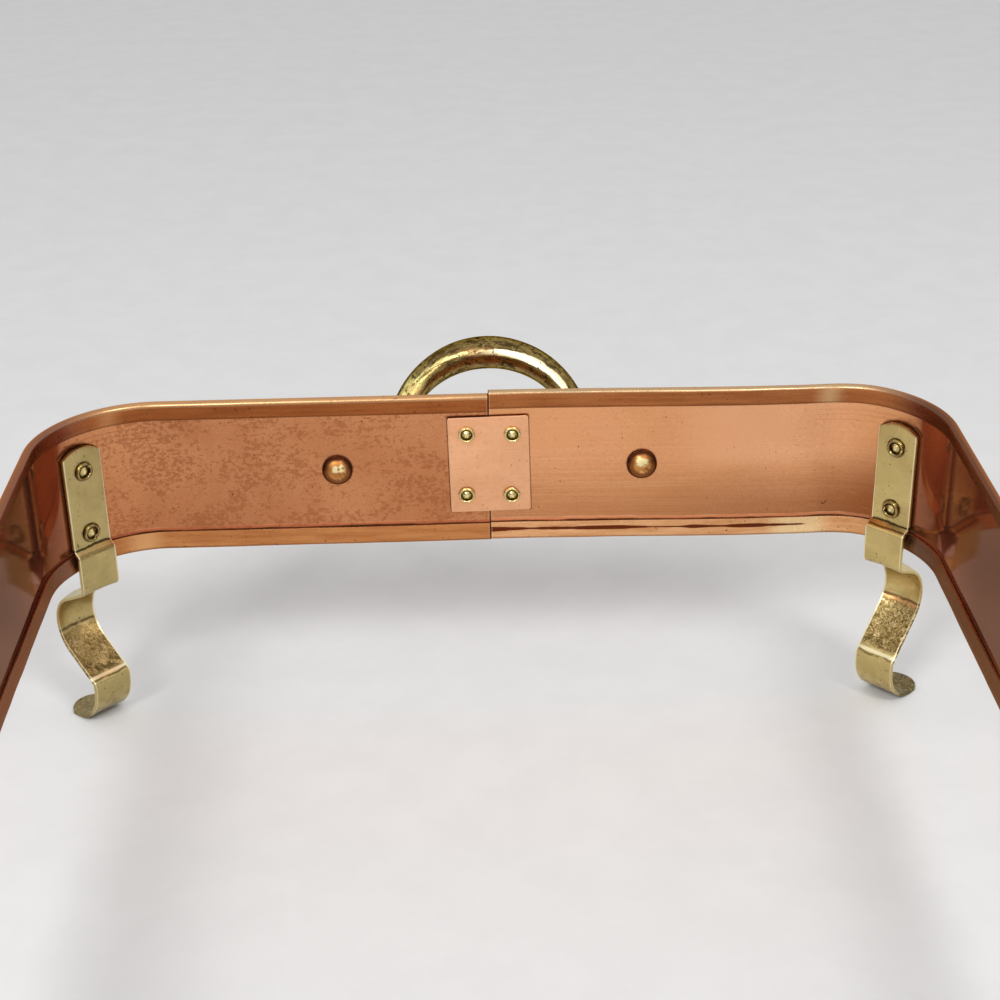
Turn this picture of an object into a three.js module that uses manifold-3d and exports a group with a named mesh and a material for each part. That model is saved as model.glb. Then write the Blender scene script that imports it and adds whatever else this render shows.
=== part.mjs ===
// Open stand of a buffet server: a copper band bent to a rounded rectangle, with a rolled hem along
// its top and bottom edge, carried by four brass strap legs and lifted by two brass loop handles.
// Millimetres, +Z up. The origin is on the floor, under the middle of the stand.
// X runs across the short ends, Y runs along the stand, and the end with the seam in view is at +Y.
import * as THREE from 'three';
import { mergeVertices } from 'three/addons/utils/BufferGeometryUtils.js';
import Module from 'manifold-3d';

// The band
const band_width = 332;
const band_length = 533;
const band_height = 61.4;
const band_drop = 70;            // floor to the band's bottom edge
const corner_radius = 42.2;      // of the band's outer face
const sheet = 0.8;
const top_hem_depth = 3.9;
const top_hem_height = 7.4;
const bottom_hem_depth = 3.2;
const bottom_hem_height = 7.0;
const hem_bend = 1.0;            // radius of a hem's folds, at the middle of the sheet
const hem_mouth = 0.7;           // from the wall to the hem's cut edge
const seam_gap = 0.3;
const seam_shift = -0.55;        // the seam lies a little to the left of the middle
const seam_step = 0.35;          // the right half stands this much higher than the left one
const strip_extra = 1.0;         // and its strip is this much taller

// The plate that joins the two halves behind each seam
const plate_width = 30.5;
const plate_height = 39.5;
const plate_thickness = 1.0;
const plate_corner = 0.8;
const plate_shift = -0.5;
const plate_rise = 32.3;         // its middle above the band's bottom edge
const plate_tilt_share = 0.0054; // of half a turn
const plate_rivet_tilt_share = -0.006;
const plate_rivet_span = 17.3;
const plate_rivet_rise = 25.4;

// The strap legs
const strap_width = 17.1;
const strap_thickness = 1.3;
const strap_top = 49.4;          // crown of its top end above the band's bottom edge
const strap_top_radius = 13;
const strap_low_rivet = 14.3;
const strap_rivet_pitch = 25.5;
const leg_step = 1.1;            // the right legs sit this much higher on the band
const leg_inset = 1.2;           // and stand off this much further under it
const joggle_sink = 0.3;         // the strap starts to step inward this far below the hem's cut edge
const joggle_length = 2;
const joggle_bend = 0.7;
const knee_drop = 9.2;           // where the strap folds outward under the band
const knee_bend = 3.0;
const shoulder_reach = 23.7;     // where the two flanks of the bulge would meet
const shoulder_drop = 23;
const shoulder_skew = 4;         // a left leg bulges this much lower and wider, a right one less
const shoulder_bend = 13.5;
const shoulder_dome = 2.6;       // how far the bulge is spooned across its width
const ankle_drop = 49;
const ankle_bend = 2.2;
const foot_bend = 16.8;
const toe_reach = 18.5;
const toe_radius = 9;

// The tubular rivets of straps and plates
const rivet_shank = 4.0;
const plate_rivet_ring = 6.3;    // across the clinched end
const plate_rivet_roll = 1.0;    // how thick that end's rolled rim is
const strap_rivet_ring = 7.2;
const strap_rivet_roll = 1.3;
const rivet_ring_height = 1.0;
const rivet_eye_depth = 0.8;     // of the dimple in the clinched end
const rivet_button = 0.55;       // the bright button at the bottom of the dimple
const rivet_head = 7.4;
const rivet_head_height = 1.3;

// The handles and their rivets
const grip_diameter = 13.1;      // at the crown
const grip_neck = 9;             // where the bar leaves the arch
const grip_radius = 34.8;        // of the arch, along the middle of the bar
const grip_height = 45.3;        // pad line to the crown, along the slope
const grip_slope_share = 5 / 18; // of half a turn, away from upright
const pad_run = 5.5;             // straight stretch from the reverse bend to the rivet's head
const pad_width = 14.6;
const pad_thickness = 3.2;
const pad_reach = 8.6;           // past the rivet
const handle_rivet_span = 115;
const handle_rivet_rise = 31.4;  // above the band's bottom edge
const handle_shank = 5.0;
const dome_diameter = 11.7;
const dome_height = 3.5;
const peen_diameter = 9.4;
const peen_height = 2.2;

// Fits and facets
const fit = 0.3;                 // between pieces that rest on each other
const hole_fit = 0.25;           // round a shank in its hole, on each side
const overrun = 2;               // what a cut runs past its faces
const corner_steps = 8;
const fold_steps = 3;            // in a quarter turn of a hem
const bend_steps = 6;            // in a quarter turn of a strap or a handle
const roll_steps = 3;
const eye_steps = 2;
const head_steps = 3;
const dome_steps = 4;
const rivet_sides = 10;
const dome_sides = 14;
const hole_sides = 10;
const grip_sides = 12;

const half_turn = Math.PI;
const quarter_turn = half_turn / 2;
const half_width = band_width / 2;
const half_length = band_length / 2;
const wall_inner = half_length - sheet;

const copper_dark = { color: 0xa8623c, roughness: 0.38, metalness: 1 };
const copper_bright = { color: 0xbb7448, roughness: 0.3, metalness: 1 };
const copper_plate = { color: 0xc88860, roughness: 0.42, metalness: 1 };
const brass_strap = { color: 0xb0a063, roughness: 0.36, metalness: 1 };
const brass_rivet = { color: 0xbfa45c, roughness: 0.25, metalness: 1 };
const brass_cast = { color: 0x93753a, roughness: 0.34, metalness: 1 };
const bronze_dome = { color: 0xb5763f, roughness: 0.22, metalness: 1 };

const wasm = await Module();
wasm.setup();

const stand = new THREE.Group();

// Turns a closed geometry into a solid, so that it can be cut or joined.
function solidOf(geometry) {
  const bare = geometry.clone();
  bare.deleteAttribute('normal');
  bare.deleteAttribute('uv');
  const merged = mergeVertices(bare);
  const mesh = new wasm.Mesh({
    numProp: 3,
    vertProperties: new Float32Array(merged.attributes.position.array),
    triVerts: new Uint32Array(merged.index.array),
  });
  return new wasm.Manifold(mesh);
}

// Turns a solid back into a geometry.
function geometryOf(solid) {
  const mesh = solid.getMesh();
  const geometry = new THREE.BufferGeometry();
  geometry.setAttribute('position', new THREE.BufferAttribute(new Float32Array(mesh.vertProperties), 3));
  geometry.setIndex(new THREE.BufferAttribute(new Uint32Array(mesh.triVerts), 1));
  geometry.computeVertexNormals();
  return geometry;
}

// Cuts every tool out of a geometry.
function cut(geometry, tools) {
  let solid = solidOf(geometry);
  for (const tool of tools) {
    solid = solid.subtract(solidOf(tool));
  }
  return geometryOf(solid);
}

// Six times the signed volume of a triangle soup: negative where its faces point inward.
function signedVolume(points, triangles) {
  let sum = 0;
  for (const [a, b, c] of triangles) {
    sum += points[a].dot(new THREE.Vector3().crossVectors(points[b], points[c]));
  }
  return sum;
}

// Joins rings of equal length into one closed skin, with a flat cap on each end.
function loft(rings) {
  const count = rings[0].length;
  const points = rings.flat();
  const triangles = [];
  for (let ring = 0; ring + 1 < rings.length; ring += 1) {
    for (let spot = 0; spot < count; spot += 1) {
      const next = (spot + 1) % count;
      const a = ring * count + spot;
      const b = ring * count + next;
      const c = a + count;
      const d = b + count;
      triangles.push([a, b, c], [b, d, c]);
    }
  }
  for (const [ring, flip] of [[0, true], [rings.length - 1, false]]) {
    for (const [a, b, c] of capOf(rings[ring])) {
      const at = ring * count;
      triangles.push(flip ? [at + a, at + c, at + b] : [at + a, at + b, at + c]);
    }
  }
  return skin(points, triangles);
}

// Triangles that close a flat ring, wound the way the ring runs.
function capOf(ring) {
  const middle = new THREE.Vector3();
  for (const point of ring) {
    middle.add(point);
  }
  middle.divideScalar(ring.length);
  const normal = new THREE.Vector3();
  ring.forEach((point, spot) => {
    const next = ring[(spot + 1) % ring.length];
    const area = new THREE.Vector3().crossVectors(point.clone().sub(middle), next.clone().sub(middle));
    normal.add(area);
  });
  normal.normalize();
  const helper = Math.abs(normal.z) < Math.abs(normal.x) ? new THREE.Vector3(0, 0, 1) : new THREE.Vector3(1, 0, 0);
  const across = new THREE.Vector3().crossVectors(helper, normal).normalize();
  const up = new THREE.Vector3().crossVectors(normal, across);
  const flat = ring.map((point) => new THREE.Vector2(point.dot(across), point.dot(up)));
  return THREE.ShapeUtils.triangulateShape(flat, []);
}

// A geometry from points and triangles, with its faces turned outward.
function skin(points, triangles) {
  const outward = signedVolume(points, triangles) > 0;
  const index = triangles.flatMap(([a, b, c]) => (outward ? [a, b, c] : [a, c, b]));
  const geometry = new THREE.BufferGeometry();
  const places = new Float32Array(points.flatMap((point) => point.toArray()));
  geometry.setAttribute('position', new THREE.BufferAttribute(places, 3));
  geometry.setIndex(index);
  geometry.computeVertexNormals();
  return geometry;
}

// A path of straight runs whose corners are rounded: each corner is [across, up, bend radius].
// Returns points with the direction of travel and the distance run.
function bentPath(corners, steps) {
  const spots = [];
  const add = (point, along) => {
    const last = spots[spots.length - 1];
    const run = last ? last.run + last.point.distanceTo(point) : 0;
    spots.push({ point, along: along.clone(), run });
  };
  const places = corners.map(([across, up]) => new THREE.Vector2(across, up));
  const heading = (from, to) => places[to].clone().sub(places[from]).normalize();
  add(places[0], heading(0, 1));
  for (let spot = 1; spot + 1 < places.length; spot += 1) {
    const before = heading(spot - 1, spot);
    const after = heading(spot, spot + 1);
    const radius = corners[spot][2];
    const turn = Math.atan2(before.cross(after), before.dot(after));
    const reach = radius * Math.tan(Math.abs(turn) / 2);
    const start = places[spot].clone().addScaledVector(before, -reach);
    const side = new THREE.Vector2(-before.y, before.x).multiplyScalar(Math.sign(turn));
    const centre = start.clone().addScaledVector(side, radius);
    const count = Math.ceil((Math.abs(turn) / quarter_turn) * steps);
    for (let step = 0; step <= count; step += 1) {
      const angle = (turn * step) / count;
      const spoke = side.clone().multiplyScalar(-radius).rotateAround(new THREE.Vector2(), angle);
      const along = before.clone().rotateAround(new THREE.Vector2(), angle);
      add(centre.clone().add(spoke), along);
    }
  }
  const last = places.length - 1;
  add(places[last], heading(last - 1, last));
  return spots;
}

// A cylinder along +X, for holes.
function drill(diameter, length) {
  return new THREE.CylinderGeometry(diameter / 2, diameter / 2, length, hole_sides).rotateZ(quarter_turn);
}

// A cylinder that stands for a hole: it is centred at a place and runs along a heading in plan.
function drillAt(diameter, length, place, angle) {
  return drill(diameter, length).rotateZ(angle).translate(place.x, place.y, place.z);
}

function material(look) {
  return new THREE.MeshStandardMaterial(look);
}

function place(parent, name, geometry, look) {
  const mesh = new THREE.Mesh(geometry, material(look));
  mesh.name = name;
  parent.add(mesh);
  return mesh;
}

// A group at the middle of one end's outer face: its +X points out of the stand.
function endFrame(side) {
  const frame = new THREE.Group();
  frame.position.set(0, side * half_length, band_drop);
  frame.rotation.z = side * quarter_turn;
  return frame;
}

const corner_middle_x = half_width - corner_radius;
const corner_middle_y = half_length - corner_radius;

// The heading of a corner's diagonal in plan, away from the stand.
function cornerHeading(left, back) {
  return Math.atan2(back, left);
}

// The point of the band's outer face on a corner's diagonal, at the band's bottom edge.
function cornerPoint(left, back) {
  const reach = corner_radius * Math.SQRT1_2;
  return new THREE.Vector3(left * (corner_middle_x + reach), back * (corner_middle_y + reach), band_drop);
}

// The band's section as a strip of sheet: inward from the outer face, and up from the bottom edge.
function bandSection(rim) {
  const middle = sheet / 2;
  const mouth = sheet + hem_mouth + middle;
  const path = bentPath([
    [mouth, bottom_hem_height, 0],
    [bottom_hem_depth - middle, middle, hem_bend],
    [middle, middle, hem_bend],
    [middle, rim - middle, hem_bend],
    [top_hem_depth - middle, rim - middle, hem_bend],
    [mouth, rim - top_hem_height, 0],
  ], fold_steps);
  const side = (spot, shift) => {
    const normal = new THREE.Vector2(-spot.along.y, spot.along.x);
    return spot.point.clone().addScaledVector(normal, shift);
  };
  const near = path.map((spot) => side(spot, middle));
  const far = path.map((spot) => side(spot, -middle));
  return [...near, ...far.reverse()];
}

// Stations along one half of the band, from the seam at +Y to the seam at -Y.
function bandStations(side) {
  const seam = seam_shift + (side * seam_gap) / 2;
  const stations = [{ x: seam, y: half_length, nx: 0, ny: 1 }];
  for (const back of [1, -1]) {
    const start = back > 0 ? quarter_turn : 0;
    for (let step = 0; step <= corner_steps; step += 1) {
      const angle = start - (quarter_turn * step) / corner_steps;
      const nx = side * Math.cos(angle);
      const ny = Math.sin(angle);
      const x = side * corner_middle_x + corner_radius * nx;
      const y = back * corner_middle_y + corner_radius * ny;
      stations.push({ x, y, nx, ny });
    }
  }
  stations.push({ x: seam, y: -half_length, nx: 0, ny: -1 });
  return stations;
}

const plate_tilt = plate_tilt_share * half_turn;
const plate_rivet_tilt = plate_rivet_tilt_share * half_turn;

// The places of a plate's rivets in its end's frame, seen from inside: [across, up].
function plateRivets() {
  const places = [];
  for (const across of [-1, 1]) {
    for (const up of [-1, 1]) {
      const place_here = new THREE.Vector2((across * plate_rivet_span) / 2, (up * plate_rivet_rise) / 2);
      place_here.rotateAround(new THREE.Vector2(), plate_rivet_tilt);
      places.push({ across, up, x: plate_shift + place_here.x, z: plate_rise + place_here.y });
    }
  }
  return places;
}

// How much higher one hand's legs sit on the band, and how far they stand off under it.
const legLift = (side) => (side > 0 ? leg_step : 0);
const legInset = (side) => (side > 0 ? leg_inset : 0);

// The heights of a strap's two rivets above the left half's bottom edge.
function strapRivets(side) {
  const lower = strap_low_rivet + legLift(side);
  return [lower, lower + strap_rivet_pitch];
}

function bandHalf(name, side, look) {
  const lift = band_drop + (side > 0 ? seam_step : 0);
  const section = bandSection(band_height + (side > 0 ? strip_extra : 0));
  const rings = bandStations(side).map((spot) => section.map((point) => new THREE.Vector3(
    spot.x - spot.nx * point.x,
    spot.y - spot.ny * point.x,
    lift + point.y,
  )));
  const holes = [];
  const run = sheet + 2 * overrun;
  for (const back of [-1, 1]) {
    const wall = back * (half_length - sheet / 2);
    for (const rivet of plateRivets().filter((spot) => spot.across === side)) {
      const spot = new THREE.Vector3(rivet.x, wall, band_drop + rivet.z);
      holes.push(drillAt(rivet_shank + 2 * hole_fit, run, spot, quarter_turn));
    }
    const ear = new THREE.Vector3((side * handle_rivet_span) / 2, wall, band_drop + handle_rivet_rise);
    holes.push(drillAt(handle_shank + 2 * hole_fit, run, ear, quarter_turn));
    for (const height of strapRivets(side)) {
      const spot = cornerPoint(side, back);
      spot.z += height;
      holes.push(drillAt(rivet_shank + 2 * hole_fit, run, spot, cornerHeading(side, back)));
    }
  }
  place(stand, name, cut(loft(rings), holes), look);
}

// The plate in its end's frame: it lies on the inner faces of both halves.
function jointPlate(name, side) {
  const outline = new THREE.Shape();
  const x = plate_width / 2 - plate_corner;
  const y = plate_height / 2 - plate_corner;
  outline.absarc(x, y, plate_corner, 0, quarter_turn);
  outline.absarc(-x, y, plate_corner, quarter_turn, half_turn);
  outline.absarc(-x, -y, plate_corner, half_turn, 3 * quarter_turn);
  outline.absarc(x, -y, plate_corner, 3 * quarter_turn, 2 * half_turn);
  const slab = new THREE.ExtrudeGeometry(outline, {
    depth: plate_thickness, bevelEnabled: false, curveSegments: bend_steps,
  });
  slab.rotateZ(plate_tilt).rotateX(quarter_turn);
  slab.translate(plate_shift, side * (wall_inner - fit), band_drop + plate_rise);
  if (side < 0) {
    slab.translate(0, plate_thickness, 0);
  }
  const holes = plateRivets().map((rivet) => {
    const middle = side * (wall_inner - fit - plate_thickness / 2);
    const spot = new THREE.Vector3(rivet.x, middle, band_drop + rivet.z);
    return drillAt(rivet_shank + 2 * hole_fit, plate_thickness + 2 * overrun, spot, quarter_turn);
  });
  place(stand, name, cut(slab, holes), copper_plate);
}

// A tubular rivet along +X: its flat head sits at 0 and its clinched ring at minus the grip.
function tubularRivet(grip, ring_diameter, roll_width) {
  const shank = rivet_shank / 2;
  const ring = ring_diameter / 2;
  const eye = ring - roll_width;
  const head = rivet_head / 2;
  const end = -grip - rivet_ring_height;
  const floor = end + rivet_eye_depth;
  const profile = [new THREE.Vector2(0, floor - rivet_button)];
  for (let step = 1; step <= eye_steps; step += 1) {
    const share = step / eye_steps;
    profile.push(new THREE.Vector2((eye / 2) * share, floor - rivet_button * (1 - share * share)));
  }
  profile.push(new THREE.Vector2(eye, floor - rivet_button / 2));
  const roll = roll_width / 2;
  for (let step = 0; step <= roll_steps; step += 1) {
    const angle = half_turn + (half_turn * step) / roll_steps;
    const out = (eye + ring) / 2 + roll * Math.cos(angle);
    profile.push(new THREE.Vector2(out, end + rivet_ring_height / 2 + (rivet_ring_height / 2) * Math.sin(angle)));
  }
  profile.push(new THREE.Vector2(ring, -grip));
  profile.push(new THREE.Vector2(shank, -grip));
  profile.push(new THREE.Vector2(shank, 0));
  profile.push(new THREE.Vector2(head, 0));
  for (let step = 1; step <= head_steps; step += 1) {
    const angle = (quarter_turn * step) / head_steps;
    const out = step === head_steps ? 0 : head * Math.cos(angle);
    profile.push(new THREE.Vector2(out, rivet_head_height * Math.sin(angle)));
  }
  return lathe(profile, rivet_sides);
}

// A handle rivet along +X: its dome lies inside the wall and its low peened head on the pad.
function handleRivet(grip) {
  const shank = handle_shank / 2;
  const dome = dome_diameter / 2;
  const peen = peen_diameter / 2;
  const profile = [];
  for (let step = 0; step <= dome_steps; step += 1) {
    const angle = (quarter_turn * step) / dome_steps;
    const out = step === 0 ? 0 : dome * Math.sin(angle);
    profile.push(new THREE.Vector2(out, -grip - dome_height * Math.cos(angle)));
  }
  profile.push(new THREE.Vector2(shank, -grip));
  profile.push(new THREE.Vector2(shank, 0));
  profile.push(new THREE.Vector2(peen, 0));
  for (let step = 1; step <= dome_steps; step += 1) {
    const angle = (quarter_turn * step) / dome_steps;
    const out = step === dome_steps ? 0 : peen * Math.cos(angle);
    profile.push(new THREE.Vector2(out, peen_height * Math.sin(angle)));
  }
  return lathe(profile, dome_sides);
}

// A turned piece whose axis is +X.
function lathe(profile, sides) {
  return new THREE.LatheGeometry(profile, sides).rotateZ(-quarter_turn);
}

// The strap's middle line: out from the band's outer face, and up from its bottom edge.
const wall_sag = corner_radius - sheet - Math.sqrt((corner_radius - sheet) ** 2 - (strap_width / 2) ** 2);
const hem_inner = corner_radius - bottom_hem_depth;
const hem_sag = hem_inner - Math.sqrt(hem_inner ** 2 - (strap_width / 2) ** 2);
const strap_seat = -(sheet + wall_sag + fit + strap_thickness / 2);
const strap_low_seat = -(bottom_hem_depth + hem_sag + fit + strap_thickness / 2);
const sole = -(band_drop - strap_thickness / 2);

function strapPath(side) {
  const lift = legLift(side);
  const low_seat = strap_low_seat - legInset(side);
  const joggle_low = bottom_hem_height - joggle_sink + (side > 0 ? seam_step : 0);
  const reach = shoulder_reach - side * shoulder_skew;
  const drop = shoulder_drop - side * shoulder_skew;
  return bentPath([
    [strap_seat, strap_top + lift, 0],
    [strap_seat, joggle_low + joggle_length, joggle_bend],
    [low_seat, joggle_low, joggle_bend],
    [low_seat, lift - knee_drop, knee_bend],
    [reach, -drop, shoulder_bend],
    [low_seat, -ankle_drop, ankle_bend],
    [low_seat, sole, foot_bend],
    [toe_reach, sole, 0],
  ], bend_steps);
}

// How much an end arc falls back at a distance from the strap's middle.
function fallBack(radius, across) {
  return radius - Math.sqrt(radius * radius - across * across);
}

// How strongly the bulge is spooned at a height: full at the shoulder, none at knee and ankle.
function spoon(height, side) {
  const crown = shoulder_drop - side * shoulder_skew + knee_bend;
  const rise = THREE.MathUtils.smoothstep(-height, knee_drop, crown);
  const fall = 1 - THREE.MathUtils.smoothstep(-height, crown, ankle_drop);
  return rise * fall;
}

const strap_shares = [-1, -0.6, 0, 0.6, 1];

// One leg in its corner's frame, where +X points out along the diagonal.
function strapLeg(side) {
  const path = strapPath(side);
  const total = path[path.length - 1].run;
  const half = strap_width / 2;
  const rings = path.map((spot) => {
    const near_top = spot.run === 0 ? 1 : 0;
    const near_toe = spot.run === total ? 1 : 0;
    const normal = new THREE.Vector2(spot.along.y, -spot.along.x);
    const row = (shift) => strap_shares.map((share) => {
      const across = share * half;
      const slide = near_top * fallBack(strap_top_radius, across) - near_toe * fallBack(toe_radius, across);
      const dome = shoulder_dome * spoon(spot.point.y, side) * (1 - (across / half) ** 2);
      const flat = spot.point.clone().addScaledVector(spot.along, slide);
      flat.addScaledVector(normal, shift - dome);
      return new THREE.Vector3(flat.x, across, flat.y);
    });
    const face = strap_thickness / 2;
    return [...row(face), ...row(-face).reverse()];
  });
  return loft(rings);
}

function buildLegs() {
  for (const [end, back] of [['back', 1], ['front', -1]]) {
    for (const [hand, left] of [['left', -1], ['right', 1]]) {
      const frame = new THREE.Group();
      frame.position.copy(cornerPoint(left, back));
      frame.rotation.z = cornerHeading(left, back);
      stand.add(frame);
      const name = `${end}_${hand}`;
      const heights = strapRivets(left);
      const holes = heights.map((height) => {
        const spot = new THREE.Vector3(strap_seat, 0, height);
        return drillAt(rivet_shank + 2 * hole_fit, strap_thickness + 2 * overrun, spot, 0);
      });
      place(frame, `leg_${name}`, cut(strapLeg(left), holes), brass_strap);
      const grip = fit - strap_seat + strap_thickness / 2 + fit;
      for (const [level, height] of [['lower', heights[0]], ['upper', heights[1]]]) {
        const rivet = tubularRivet(grip, strap_rivet_ring, strap_rivet_roll).translate(fit, 0, height);
        place(frame, `leg_rivet_${name}_${level}`, rivet, brass_rivet);
      }
    }
  }
}

// The reverse bend between a handle's arch and its pad fills the room that both leave.
const pad_start = handle_rivet_span / 2 - peen_diameter / 2 - fit;
const foot_radius = Math.min(pad_start - pad_run - grip_radius, grip_height - grip_radius);

// The handle's middle line in its end's frame, from the pad at -Y to the pad at +Y.
// Each spot holds its place across, its height along the slope, and how round the bar is there.
function gripPath() {
  return bentPath([
    [0, grip_height, 0],
    [grip_radius, grip_height, grip_radius],
    [grip_radius, 0, foot_radius],
    [pad_start, 0, 0],
  ], bend_steps);
}

const grip_slope = grip_slope_share * half_turn;

// An oval ring round a spot of the handle.
function gripRing(across, height, along, width, depth, slope) {
  const ring = [];
  const side = new THREE.Vector2(-along.y, along.x);
  const out = fit + depth / 2 + height * Math.sin(slope);
  const up = height * Math.cos(slope);
  const lean = slope * THREE.MathUtils.smoothstep(height, 0, foot_radius);
  for (let step = 0; step < grip_sides; step += 1) {
    const angle = (2 * half_turn * step) / grip_sides;
    const over = (width / 2) * Math.cos(angle);
    const deep = (depth / 2) * Math.sin(angle);
    const climb = side.y * over;
    ring.push(new THREE.Vector3(
      out + climb * Math.sin(lean) + deep * Math.cos(lean),
      across + side.x * over,
      up + climb * Math.cos(lean) - deep * Math.sin(lean),
    ));
  }
  return ring;
}

function gripLoop() {
  const half_path = gripPath();
  const arch_run = grip_radius * quarter_turn;
  const total = half_path[half_path.length - 1].run;
  const spots = half_path.map((spot) => {
    const thin = THREE.MathUtils.smoothstep(spot.run, 0, arch_run);
    const flat = THREE.MathUtils.smoothstep(spot.run, arch_run + foot_radius / 2, total);
    const bar = THREE.MathUtils.lerp(grip_diameter, grip_neck, thin);
    return {
      across: spot.point.x,
      height: spot.point.y,
      along: spot.along,
      width: THREE.MathUtils.lerp(bar, pad_width, flat),
      depth: THREE.MathUtils.lerp(bar, pad_thickness, flat),
    };
  });
  const last = spots[spots.length - 1];
  const rivet = handle_rivet_span / 2;
  const tip_share = 0.25;
  for (let step = 0; step <= bend_steps; step += 1) {
    const angle = (quarter_turn * step) / bend_steps;
    const shrink = Math.max(Math.cos(angle), tip_share);
    spots.push({ ...last, across: rivet + pad_reach * Math.sin(angle), width: last.width * shrink });
  }
  const rings = [];
  for (const spot of [...spots].reverse()) {
    const along = new THREE.Vector2(spot.along.x, -spot.along.y);
    rings.push(gripRing(-spot.across, spot.height, along, spot.width, spot.depth, grip_slope));
  }
  for (const spot of spots.slice(1)) {
    rings.push(gripRing(spot.across, spot.height, spot.along, spot.width, spot.depth, grip_slope));
  }
  return loft(rings);
}

function buildEnds() {
  for (const [end, back] of [['back', 1], ['front', -1]]) {
    jointPlate(`joint_plate_${end}`, back);
    const grip = fit + sheet + fit + plate_thickness + fit;
    for (const rivet of plateRivets()) {
      const hand = rivet.across > 0 ? 'right' : 'left';
      const level = rivet.up > 0 ? 'upper' : 'lower';
      const body = tubularRivet(grip, plate_rivet_ring, plate_rivet_roll).rotateZ(back * quarter_turn);
      body.translate(rivet.x, back * (half_length + fit), band_drop + rivet.z);
      place(stand, `joint_rivet_${end}_${hand}_${level}`, body, brass_rivet);
    }
    const frame = endFrame(back);
    stand.add(frame);
    const ears = [['left', -back], ['right', back]];
    const holes = ears.map(([, side]) => {
      const spot = new THREE.Vector3(pad_thickness / 2, (-side * handle_rivet_span) / 2, 0);
      return drillAt(handle_shank + 2 * hole_fit, pad_thickness + 2 * overrun, spot, 0);
    });
    const loop = cut(gripLoop(), holes).translate(0, 0, handle_rivet_rise);
    place(frame, `handle_${end}`, loop, brass_cast);
    const ear_grip = fit + pad_thickness + fit + sheet + fit;
    for (const [hand, side] of ears) {
      const body = handleRivet(ear_grip);
      body.translate(pad_thickness + 2 * fit, (-side * handle_rivet_span) / 2, handle_rivet_rise);
      place(frame, `handle_rivet_${end}_${hand}`, body, bronze_dome);
    }
  }
}

bandHalf('band_half_left', -1, copper_dark);
bandHalf('band_half_right', 1, copper_bright);
buildEnds();
buildLegs();

export default stand;
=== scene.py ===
"""Looks of an open buffet server stand: a copper band in two halves, brass strap legs and loop handles.

Metres, in the frame of the CAD part. The end that the camera sees is at +Y.
"""
import bmesh
import bpy
from math import atan2, ceil, copysign, cos, dist, exp, hypot, pi, radians, sin, sqrt, tan
from mathutils import Matrix, Vector, noise
from types import SimpleNamespace


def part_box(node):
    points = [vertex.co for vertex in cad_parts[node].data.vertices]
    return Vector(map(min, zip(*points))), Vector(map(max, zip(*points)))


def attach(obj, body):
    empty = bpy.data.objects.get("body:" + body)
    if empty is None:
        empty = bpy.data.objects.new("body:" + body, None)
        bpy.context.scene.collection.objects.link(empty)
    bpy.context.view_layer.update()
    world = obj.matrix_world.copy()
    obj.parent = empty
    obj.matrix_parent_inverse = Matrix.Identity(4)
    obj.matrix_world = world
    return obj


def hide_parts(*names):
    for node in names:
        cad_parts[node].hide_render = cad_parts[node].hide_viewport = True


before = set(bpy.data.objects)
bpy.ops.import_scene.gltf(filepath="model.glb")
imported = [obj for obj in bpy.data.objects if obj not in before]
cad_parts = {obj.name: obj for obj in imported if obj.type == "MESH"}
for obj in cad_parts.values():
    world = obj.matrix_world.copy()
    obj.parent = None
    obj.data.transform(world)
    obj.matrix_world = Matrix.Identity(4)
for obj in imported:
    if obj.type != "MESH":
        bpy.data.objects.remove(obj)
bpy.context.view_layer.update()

MM = 0.001
QUARTER = pi / 2


def node_box(node):
    """The low corner, the high corner and the middle of a CAD node."""
    low, high = [Vector(corner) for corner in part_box(node)]
    return low, high, (low + high) / 2


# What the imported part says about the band.
LEFT_LOW, LEFT_HIGH, _ = node_box("band_half_left")
RIGHT_LOW, RIGHT_HIGH, _ = node_box("band_half_right")
PLATE_MIDDLE = node_box("joint_plate_back")[2]
HALF_WIDTH = RIGHT_HIGH.x
HALF_LENGTH = RIGHT_HIGH.y
BAND_DROP = LEFT_LOW.z
SEAM = (LEFT_HIGH.x + RIGHT_LOW.x) / 2

# Sizes, in millimetres until in_mm makes metres of them.
def in_mm(**sizes):
    return SimpleNamespace(**{name: size * MM for name, size in sizes.items()})


CORNER_RADIUS = 42.2 * MM
SHEET = 0.8 * MM
FIT = 0.3 * MM
WALL_RUN = HALF_WIDTH - CORNER_RADIUS   # from the seam to the corner
LONG_START = WALL_RUN + CORNER_RADIUS   # to the polished long side

# Sway and ripple are how far a hem wanders in and out, and lift is how far up and down.
HEM = in_mm(top_depth=3.9, top_height=7.4, low_depth=3.2, low_height=7, bend=1, mouth=0.35,
            sway=0.3, ripple=0.14, lift=0.22)
# The right half dips this much before its corners: over the first run, until it fades.
SAG = in_mm(depth=1.2, run=110, fade_start=118, fade_end=150)
# A cut end is broken by its edge, where the sheet has this share of its thickness.
SEAM_CUT = in_mm(edge=0.08, play=0.01)
CUT_SHARE = 0.8

# Plates and rivets: ring and roll are those of the clinched ends of their rivets.
PLATE = in_mm(width=30.5, height=39.5, thickness=1, corner=0.8, edge=0.25, ring=6.3, roll=1)
PLATE_TILT = radians(0.97)
RIVET = in_mm(shank=4, ring_height=1, eye_depth=0.8, button=0.72, head=7.4, head_height=1.3)
BUTTON_SHARE = 0.74
# How deep the split in a clinched ring is, how wide in radians, and where round the ring.
PLATE_SPLIT = 0.12
STRAP_SPLIT = 0.75
SPLIT_WIDTH = 0.24
STRAP_SPLITS = {("left", "upper"): 0.7, ("left", "lower"): -0.8,
                ("right", "upper"): 0.0, ("right", "lower"): 3.1}

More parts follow.
